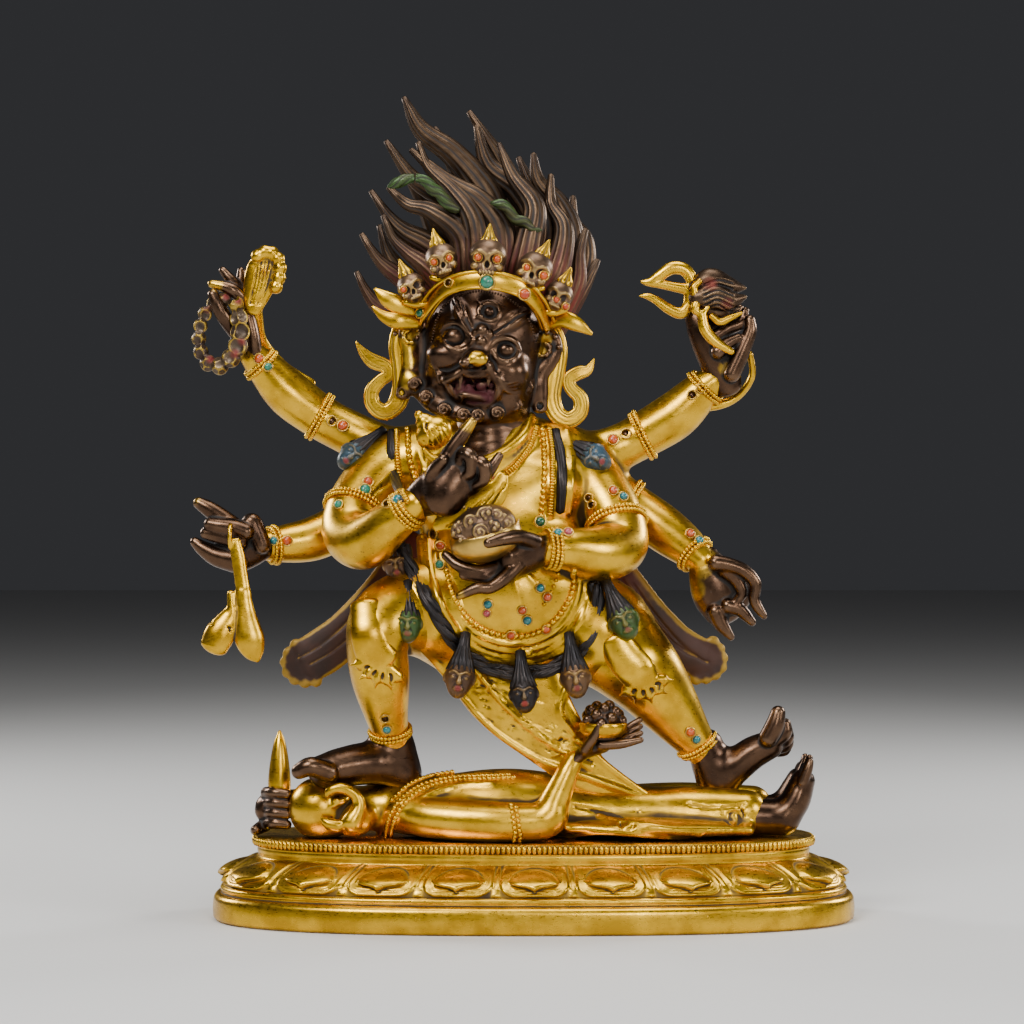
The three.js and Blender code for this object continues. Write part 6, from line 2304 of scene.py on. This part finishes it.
@dataclass
class HeldThings:
    """What the hands hold: rosary, trident with its jewel, chopper and skull cup."""

    def build(self) -> None:
        """Builds the held things."""
        self.cup()
        self.chopper()
        self.trident()
        self.jewel()
        self.rosary()

    def cup(self) -> None:
        """Builds the skull cup and the curling offering in it."""
        low, high = (-38, -66, 104), (0, -34, 142)
        clay = Clay(low, high, 0.45)
        clay.ball((-18.6, -49.5, 118.4), (14.2, 11.6, 9.2), soft=1, lean=-16)
        clay.tube([(-8, -50, 127.5, 2.4), (-4.6, -50, 129, 1.2)], soft=3)
        cut = Clay(low, high, 0.45)
        cut.ball((-23.4, -55, 138.2), (27, 26, 19.4), soft=0.1, lean=-16)
        clay.field = np.maximum(clay.field, -cut.field)
        cast(clay.shape(1.5), "skull_cup", WORN_GILT)
        clay = Clay((-38, -66, 108), (0, -34, 142), 0.4)
        clay.ball((-19.4, -49.8, 122.6), (12.6, 10.2, 8.6), soft=0.5, lean=-16)
        curls = ((459, 531, 3.4, 1), (471, 521, 3.2, -1), (484, 515, 3.0, 1), (497, 515, 2.8, -1),
                 (507, 523, 2.4, 1), (466, 541, 2.6, -1), (480, 532, 3.0, 1), (494, 529, 2.8, -1),
                 (478, 543, 2.2, 1), (505, 533, 2.0, -1))
        for px, py, size, sign in curls:
            seat = np.array(clay.seen(px, py, 0.2))
            line = []
            for k in range(17):
                angle = sign * k * 0.66
                reach = size * (1 - k / 18)
                line.append((*(seat + (reach * math.cos(angle), -0.06 * k, reach * math.sin(angle))), 0.8))
            clay.tube(line, soft=0.25)
        rng = np.random.default_rng(SEED)
        for _ in range(26):
            px, py = rng.uniform(452, 506), rng.uniform(506, 540)
            clay.ball(clay.seen(px, py, 0.3), rng.uniform(0.8, 1.3), soft=0.4)
        cast(clay.shape(0.9), "cup_offering", OFFERING)

    def chopper(self) -> None:
        """Builds the chopper: blade behind the hand and finial above it."""
        clay = Clay((-52, -56, 108), (-2, -26, 176), 0.5)
        blade = [(503, 474, 2.2), (497, 490, 4.6), (482, 505, 6.0), (463, 514, 6.0), (447, 520, 4.4),
                 (434, 528, 1.6)]
        clay.tube(LENS.stations(blade, -42), soft=1, flat=0.26, wide=(0.5, 0, -0.86))
        for k in range(4):
            line = [(505 - 12 * k, 484 + 9 * k), (497 - 13 * k, 494 + 9 * k), (486 - 13 * k, 512 + 5 * k)]
            clay.line(line, 0.4, 0.1, soft=0.3, carve=True)
        clay.ball(LENS.at(434, 433, -37), (7.4, 6, 6.4), soft=1, lean=-38)
        clay.ball(LENS.at(424, 421, -37.5), (3.4, 3.2, 2.8), soft=1.2, lean=-38)
        clay.ball(LENS.at(419, 415, -38), 1.8, soft=0.5)
        for k in range(5):
            shift = (k - 2) * 6
            line = [(441 + shift, 444 - 0.8 * shift), (435 + shift * 0.9, 434 - 0.7 * shift), (426, 424)]
            clay.line(line, 0.34, 0.0, soft=0.3, carve=True)
        for marks in ([(424, 450), (436, 458), (450, 456), (462, 444)], [(428, 456), (438, 463), (452, 461)]):
            clay.line(marks, 1.1, 0.4, soft=0.5)
        cast(clay.shape(1.4), "chopper", GILT)

    def trident(self) -> None:
        """Builds the trident head."""
        clay = Clay((36, -12, 196), (96, 6, 232), 0.4)
        for marks in (
            [(690, 291, 2.2), (692, 281, 2.4), (685, 270, 2.6), (672, 268, 2.6), (659, 276, 2.2),
             (650, 281, 1.4), (641, 281, 0.3)],
            [(692, 290, 2.4), (675, 287, 2.0), (660, 284, 1.8), (648, 283, 1.3), (641, 282, 0.4)],
            [(690, 292, 2.4), (689, 305, 2.5), (681, 313, 2.4), (669, 309, 2.1), (656, 300, 1.7),
             (647, 296, 1.3), (639, 296, 0.3)],
        ):
            clay.tube(LENS.stations(marks, -3), soft=0.6, flat=0.8)
        for marks in ([(664, 281), (676, 273), (688, 278), (688, 288)], [(660, 298), (674, 306), (686, 302)]):
            clay.line(marks, 0.35, 0.0, soft=0.2, carve=True)
        cast(clay.shape(1.2), "trident", GILT)

    def jewel(self) -> None:
        """Builds the flaming jewel behind the trident, with gilt curls under it."""
        clay = Clay((58, -16, 196), (98, 8, 234), 0.4)
        lobes = (
            ([(696, 288, 3.4), (710, 280, 4.8), (726, 286, 4.2), (745, 288, 0.7)], -4),
            ([(698, 298, 3.8), (714, 297, 5.0), (729, 301, 3.8), (745, 297, 0.9)], -7),
            ([(704, 309, 3.0), (719, 313, 3.4), (738, 309, 0.8)], -4),
        )
        for marks, deep in lobes:
            clay.tube(LENS.stations(marks, deep), soft=0.6)
        for k in range(6):
            y = 282 + 5 * k
            line = [(704, y + 3), (718, y - 2), (733, y + 1 + k)]
            clay.line(line, 0.5, 0.0, soft=0.3, carve=True)
        shape = clay.shape(1.0)
        shape.paint("red", [(*LENS.at(710, 285, -9), 2.6), (*LENS.at(726, 303, -9), 2.4)], 2)
        shape.values["red"] = shape.values["red"] * 0.6
        cast(shape, "flaming_jewel", HAIR)
        clay = Clay((58, -18, 186), (98, 8, 232), 0.4)
        for marks in (
            [(700, 281, 1.2), (694, 288, 1.6), (697, 297, 1.6), (704, 292, 1.2)],
            [(698, 300, 1.6), (695, 309, 1.8), (702, 313, 1.4), (708, 307, 1.0)],
            [(702, 314, 2.0), (705, 329, 2.3), (716, 342, 2.2), (732, 352, 1.4)],
            [(712, 316, 1.4), (720, 322, 1.6), (730, 318, 1.4), (742, 313, 0.6)],
        ):
            clay.tube(LENS.stations(marks, -9), soft=0.6, flat=0.8)
        cast(clay.shape(1.2), "jewel_curls", GILT)

    def rosary(self) -> None:
        """Builds the rosary of big faceted beads, in front of the palm and free on its other side."""
        clay = Clay((-142, -22, 176), (-106, 8, 218), 0.4)
        beads = (
            (213, 304, -5, 2.5), (205, 314, -4, 2.5), (200.6, 326, -4, 2.5), (199, 339, -4, 2.6),
            (201, 352, -5, 2.7), (208, 363, -6, 2.9), (220, 366, -8, 3.1), (231, 358, -10, 3.3),
            (238, 346, -11, 3.5), (240, 332, -11, 3.5), (238.6, 318, -10, 3.3), (235, 305, -9, 3.1),
            (224, 300, -6, 2.5),
        )
        for k, (px, py, y, r) in enumerate(beads):
            spot = np.array(LENS.at(px, py, y))
            clay.ball(spot, (r * 1.14, r * 1.1, r * 1.2), soft=0.5)
            for step in range(6):
                turn = 0.5 * k + step * 1.047
                flat = spot + r * 2.12 * np.array((math.cos(turn) * 0.8, -0.6, math.sin(turn) * 0.8))
                clay.ball(flat, r * 1.14, soft=0.3, carve=True)
        shape = clay.shape(1.0)
        rng = np.random.default_rng(SEED)
        reds = [(*LENS.at(*beads[k][:3]), 3.0) for k in rng.choice(len(beads), 6, replace=False)]
        shape.paint("red", [(x + 1.4, y - 2.4, z + 1.6, r * 0.6) for x, y, z, r in reds], 1.4)
        cast(shape, "rosary", BONE)


@dataclass
class Jewels:
    """Bead strings laid on the body, and stones in their collets."""

    body: BVHTree
    clay: Clay
    bead: float = 0.95
    spacing: float = 1.55
    stones: tuple[tuple[float, float, Stone, float], ...] = (
        (259, 359, Stone.CORAL, 2.0), (268, 367, Stone.TURQUOISE, 1.8), (343, 426, Stone.CORAL, 2.2),
        (332, 421, Stone.EMPTY, 2.0), (613, 440, Stone.CORAL, 2.2), (626, 434, Stone.EMPTY, 2.0),
        (287, 541, Stone.CORAL, 2.0), (274, 541, Stone.BLUE, 1.8), (368, 482, Stone.CORAL, 2.0),
        (365, 490, Stone.TURQUOISE, 2.3), (339, 505, Stone.TURQUOISE, 1.8), (398, 500, Stone.BLUE, 2.1),
        (388, 504, Stone.EMPTY, 1.9), (440, 547, Stone.CORAL, 2.0), (440, 565, Stone.TURQUOISE, 1.9),
        (434, 534, Stone.EMPTY, 2.0), (522, 610, Stone.CORAL, 1.8), (527, 620, Stone.BLUE, 1.9),
        (547, 597, Stone.CORAL, 1.8), (546, 629, Stone.CORAL, 1.9), (540, 588, Stone.BLUE, 1.8),
        (488, 604, Stone.BLUE, 1.9), (487, 613, Stone.ROSE, 1.6), (511, 635, Stone.CORAL, 1.9),
        (558, 534, Stone.BLUE, 2.0), (568, 533, Stone.ROSE, 1.9),
        (613, 491, Stone.CORAL, 1.9), (623, 497, Stone.BLUE, 1.8), (589, 498, Stone.EMPTY, 1.7),
        (592, 505, Stone.EMPTY, 1.7), (690, 534, Stone.CORAL, 1.9), (699, 541, Stone.BLUE, 1.9),
        (692, 395, Stone.EMPTY, 1.8), (701, 389, Stone.EMPTY, 1.8), (387, 729, Stone.BLUE, 1.8),
        (385, 718, Stone.EMPTY, 1.7), (690, 732, Stone.CORAL, 1.9), (696, 739, Stone.BLUE, 1.8),
        (434, 262, Stone.CORAL, 1.5), (449, 258, Stone.CORAL, 1.5), (478, 257, Stone.CORAL, 1.7),
        (497, 259, Stone.CORAL, 1.7), (527, 268, Stone.CORAL, 1.6), (544, 276, Stone.CORAL, 1.8),
        (556, 300, Stone.CORAL, 1.6), (565, 306, Stone.CORAL, 1.5), (403, 289, Stone.CORAL, 1.4),
        (449, 283, Stone.EMPTY, 1.7), (495, 480, Stone.ROSE, 1.6),
    )

    great_stones: tuple[tuple[float, float, Stone, float, Node, Slot], ...] = (
        (487, 282, Stone.TURQUOISE, 2.9, Node.CROWN_TURQUOISE, Slot.TURQUOISE),
        (524, 294, Stone.CORAL, 2.3, Node.CROWN_CORAL, Slot.CORAL),
        (421, 313, Stone.GREEN, 2.1, Node.CROWN_GREEN, Slot.GREEN),
        (540, 522, Stone.GREEN, 2.1, Node.BELLY_GREEN, Slot.GREEN),
    )

    def on_body(self, px: float, py: float) -> Optional[tuple[Array, Array]]:
        """Finds the body's surface behind a pixel of the photograph.

        Args:
            px: column of the pixel.
            py: row of the pixel.

        Returns:
            The point and the way it faces, or nothing where the ray misses.
        """
        start = LENS.at(px, py, -200.0)
        ahead = unit(LENS.at(px, py, 0.0) - start)
        place, normal, _, _ = self.body.ray_cast(Vector(start), Vector(ahead))
        if place is None:
            return None
        return np.array(place), np.array(normal)

    def string(self, marks: Sequence[tuple[float, float]], size: float = 1.0, out: float = 0.3) -> Array:
        """Lays a line over the body behind pixels of the photograph.

        Args:
            marks: columns and rows.
            size: scale of its beads.
            out: how far it stands off the body.

        Returns:
            Its points with the scale in the fourth column.
        """
        fine = smooth_line([(x, y, 0.0) for x, y in marks], 3.0)
        found = []
        for px, py, _ in fine:
            hit = self.on_body(px, py)
            if hit is not None:
                found.append([*(hit[0] + hit[1] * out), size])
        return np.array(found)

    def circlets(self) -> list[Array]:
        """Returns the rings of beads at the arms, wrists and ankles, fitted to the limbs."""
        rows = (
            ((-86, 8, 167), (-10, -1, 5.5), 2), ((-109.6, 3.4, 188), (-6, -2, 6.4), 2),
            ((44, 8, 159.6), (10, -1, 5), 2), ((69, 3.4, 178.6), (7, -2, 7), 2),
            ((-68, 8, 130.6), (-11, 1, -6), 2), ((-104, -2, 115.6), (-9, -4, -1), 2),
            ((38, 8, 132.6), (11, 0, -8), 2), ((64.6, -2.4, 111.8), (6, -4, -6), 2),
            ((-71, -11, 129.6), (-4, -8, -12), 2), ((-49, -40.6, 129.6), (10, -5, 8), 3),
            ((32.6, -13, 124.6), (3, -7, -12), 2), ((7, -39.4, 114.4), (-9, -3, 0), 3),
            ((-56.6, -18.8, 42), (1, 4, -10), 2), ((65.6, -6, 35.6), (5, 2, -8), 2),
        )
        lines = []
        for centre, along, count in rows:
            for k in range(count):
                shift = (k - (count - 1) / 2) * self.bead * 1.9
                ring = self.clay.wrap(centre, along, shift, 15)
                lines.append(np.column_stack([ring, np.ones(len(ring))]))
        return lines

    def build(self) -> None:
        """Builds the jewels."""
        settle(BeadString.object("circlets", self.circlets(), self.spacing, self.bead, GILT, closed=True))
        strings = [
            self.string([(446, 572), (450, 590), (458, 606), (470, 620), (488, 631), (510, 636), (532, 634),
                         (550, 624), (564, 608), (572, 590), (574, 570)], 1.25),
            self.string([(542, 430), (544, 450), (544, 480), (541, 516)], 1.2),
            self.string([(408, 430), (409, 456), (415, 478)], 1.3),
            self.string([(558, 574), (552, 590), (544, 604)], 0.8),
        ]
        settle(BeadString.object("chains", [s for s in strings if len(s) > 1], 2.3, 1.05, GILT))
        cords = [
            self.string([(397, 432), (397, 456), (401, 486), (408, 502)]),
            self.string([(536, 428), (530, 446), (517, 464), (503, 476), (488, 486)]),
            self.string([(549, 430), (552, 452), (552, 484), (550, 514)]),
        ]
        ribs = [s for s in cords if len(s) > 1]
        settle(BeadString.object("ribbed_cords", ribs, 1.15, 1.35, GILT, length=0.5))
        self.settings()

    def collet(self, radius: float, place: Array, way: Array) -> Shape:
        """Turns a collet.

        Args:
            radius: its outer radius.
            place: where it sits.
            way: the way it faces.

        Returns:
            The collet.
        """
        inner = radius * WELL_SHARE
        profile = [(radius * 1.0, -1.5), (radius * 1.14, -0.4), (radius * 1.2, 0.7), (radius * 1.1, 1.15),
                   (inner, 1.05), (inner * 0.97, 0.3), (inner * 0.9, -0.5), (0.05, -0.6)]
        return lathe(profile, place, way, 18)

    def cabochon(self, radius: float, place: Array, way: Array) -> Shape:
        """Turns a domed stone.

        Args:
            radius: its radius.
            place: where it sits.
            way: the way it faces.

        Returns:
            The stone.
        """
        profile = [(0.05, 0.2), (radius, 0.4), (radius * 0.98, 1.1), (radius * 0.82, 1.6),
                   (radius * 0.5, 1.95),
                   (0.05, 2.1)]
        return lathe(profile, place, way, 18)

    def settings(self) -> None:
        """Builds the collets and what is set in them."""
        collets, wells = [], []
        kinds: dict[Stone, list[Shape]] = {kind: [] for kind in STONE_FINISHES}
        for px, py, kind, radius in self.stones:
            hit = self.on_body(px, py)
            if hit is None:
                continue
            place, normal = hit
            way = unit(normal + (0, -0.4, 0))
            inner = radius * WELL_SHARE
            collets.append(self.collet(radius, place, way))
            if kind is Stone.EMPTY:
                wells.append(lathe([(0.05, -0.5), (inner * 0.95, -0.45), (inner * 0.9, 0.0),
                                    (0.05, 0.15)], place,
                                   way, 14))
            else:
                kinds[kind].append(self.cabochon(inner, place, way))
        cast(Shape.joined(wells), "empty_wells", BRONZE)
        for px, py, kind, radius, node, slot in self.great_stones:
            hit = self.on_body(px, py)
            if hit is None:
                continue
            way = unit(hit[1] + (0, -0.8, 0))
            collets.append(self.collet(radius, hit[0], way))
            stone = self.cabochon(radius * WELL_SHARE, hit[0], way)
            cast(stone, node.value + "_stone", STONE_FINISHES[kind], node)
        cast(Shape.joined(collets), "collets", WORN_GILT)
        slots = {Stone.CORAL: Slot.CORAL, Stone.TURQUOISE: Slot.TURQUOISE, Stone.GREEN: Slot.GREEN}
        for kind, shapes in kinds.items():
            if shapes:
                slot = slots.get(kind, Slot.FIGURE)
                cast(Shape.joined(shapes), f"stones_{kind.value}", STONE_FINISHES[kind])


@dataclass
class Studio:
    """Floor, soft lights and camera."""

    lights: tuple[tuple[str, Point, Point, float, float], ...] = (
        ("key", (-0.5, -0.9, 0.95), (0, 0, 0.16), 0.5, 14.0),
        ("front", (0.3, -1.3, 0.45), (0, 0, 0.15), 0.35, 5.0),
        ("fill", (0.95, -0.6, 0.5), (0, 0, 0.15), 0.4, 6.0),
        ("top", (0.05, -0.1, 1.15), (0, 0, 0.15), 0.7, 9.0),
        ("rim_left", (-0.8, 0.5, 0.5), (0, 0, 0.17), 0.3, 6.0),
        ("rim_right", (0.8, 0.5, 0.5), (0, 0, 0.17), 0.3, 6.0),
    )
    world: float = 0.035

    def build(self) -> None:
        """Builds the studio."""
        world = bpy.data.worlds.new("studio")
        world.use_nodes = True
        world.node_tree.nodes["Background"].inputs["Color"].default_value = (0.9, 0.92, 1.0, 1)
        world.node_tree.nodes["Background"].inputs["Strength"].default_value = self.world
        bpy.context.scene.world = world
        for name, place, aim, size, power in self.lights:
            data = bpy.data.lights.new(name, "AREA")
            data.shape = "DISK"
            data.size = size
            data.energy = power
            lamp = linked(name, data)
            lamp.location = place
            lamp.rotation_euler = (Vector(aim) - Vector(place)).to_track_quat("-Z", "Y").to_euler()
        floor_material = bpy.data.materials.new("floor")
        floor_material.use_nodes = True
        shader = floor_material.node_tree.nodes["Principled BSDF"]
        shader.inputs["Base Color"].default_value = (0.62, 0.61, 0.59, 1)
        shader.inputs["Roughness"].default_value = 0.7
        mesh = bpy.data.meshes.new("floor")
        mesh.from_pydata([(-4, -3, 0), (4, -3, 0), (4, 5, 0), (-4, 5, 0)], [], [(0, 1, 2, 3)])
        mesh.materials.append(floor_material)
        floor = linked("floor", mesh)
        floor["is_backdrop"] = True
        LENS.camera()


def dress_nodes() -> None:
    """Gives the solids that stay in view, and those that don't, a finish of their own."""
    finishes = {
        "crown_turquoise": TURQUOISE,
        "crown_coral": CORAL,
        "crown_green_stone": GREEN_GLASS,
        "belly_green_stone": GREEN_GLASS,
    }
    for name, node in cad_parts.items():
        node.data.materials.clear()
        node.data.materials.append(finishes.get(name, GILT).material())


def main() -> None:
    """Builds the figure piece by piece."""
    logging.basicConfig(level=logging.INFO, format="%(message)s")
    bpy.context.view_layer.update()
    dress_nodes()
    LotusBase().build()
    LOG.info("lotus base built")
    body = GiltBody().build()
    LOG.info("body built")
    Head().build()
    LOG.info("head built")
    Hands().build()
    Feet().build()
    LOG.info("hands and feet built")
    Hair().build()
    crown = Crown().build()
    scarves = Scarves().build()
    LOG.info("hair, crown and scarves built")
    Skins(body).build()
    Garland(body).build()
    HeldThings().build()
    LOG.info("skins, garland and held things built")
    ProneFigure().build()
    HandDrum().build()
    LOG.info("prone figure and drum built")
    Jewels(Shape.joined([body.shape(1.0), crown, scarves]).tree(), body).build()
    LOG.info("jewels built")
    Studio().build()
    total = 0
    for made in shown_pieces():
        count = count_triangles(made) if made.type == "MESH" else 0
        total += count
        LOG.info("%s: %d triangles", made.name, count)
    LOG.info("all: %d triangles", total)
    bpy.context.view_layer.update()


if __name__ == "__main__":
    main()
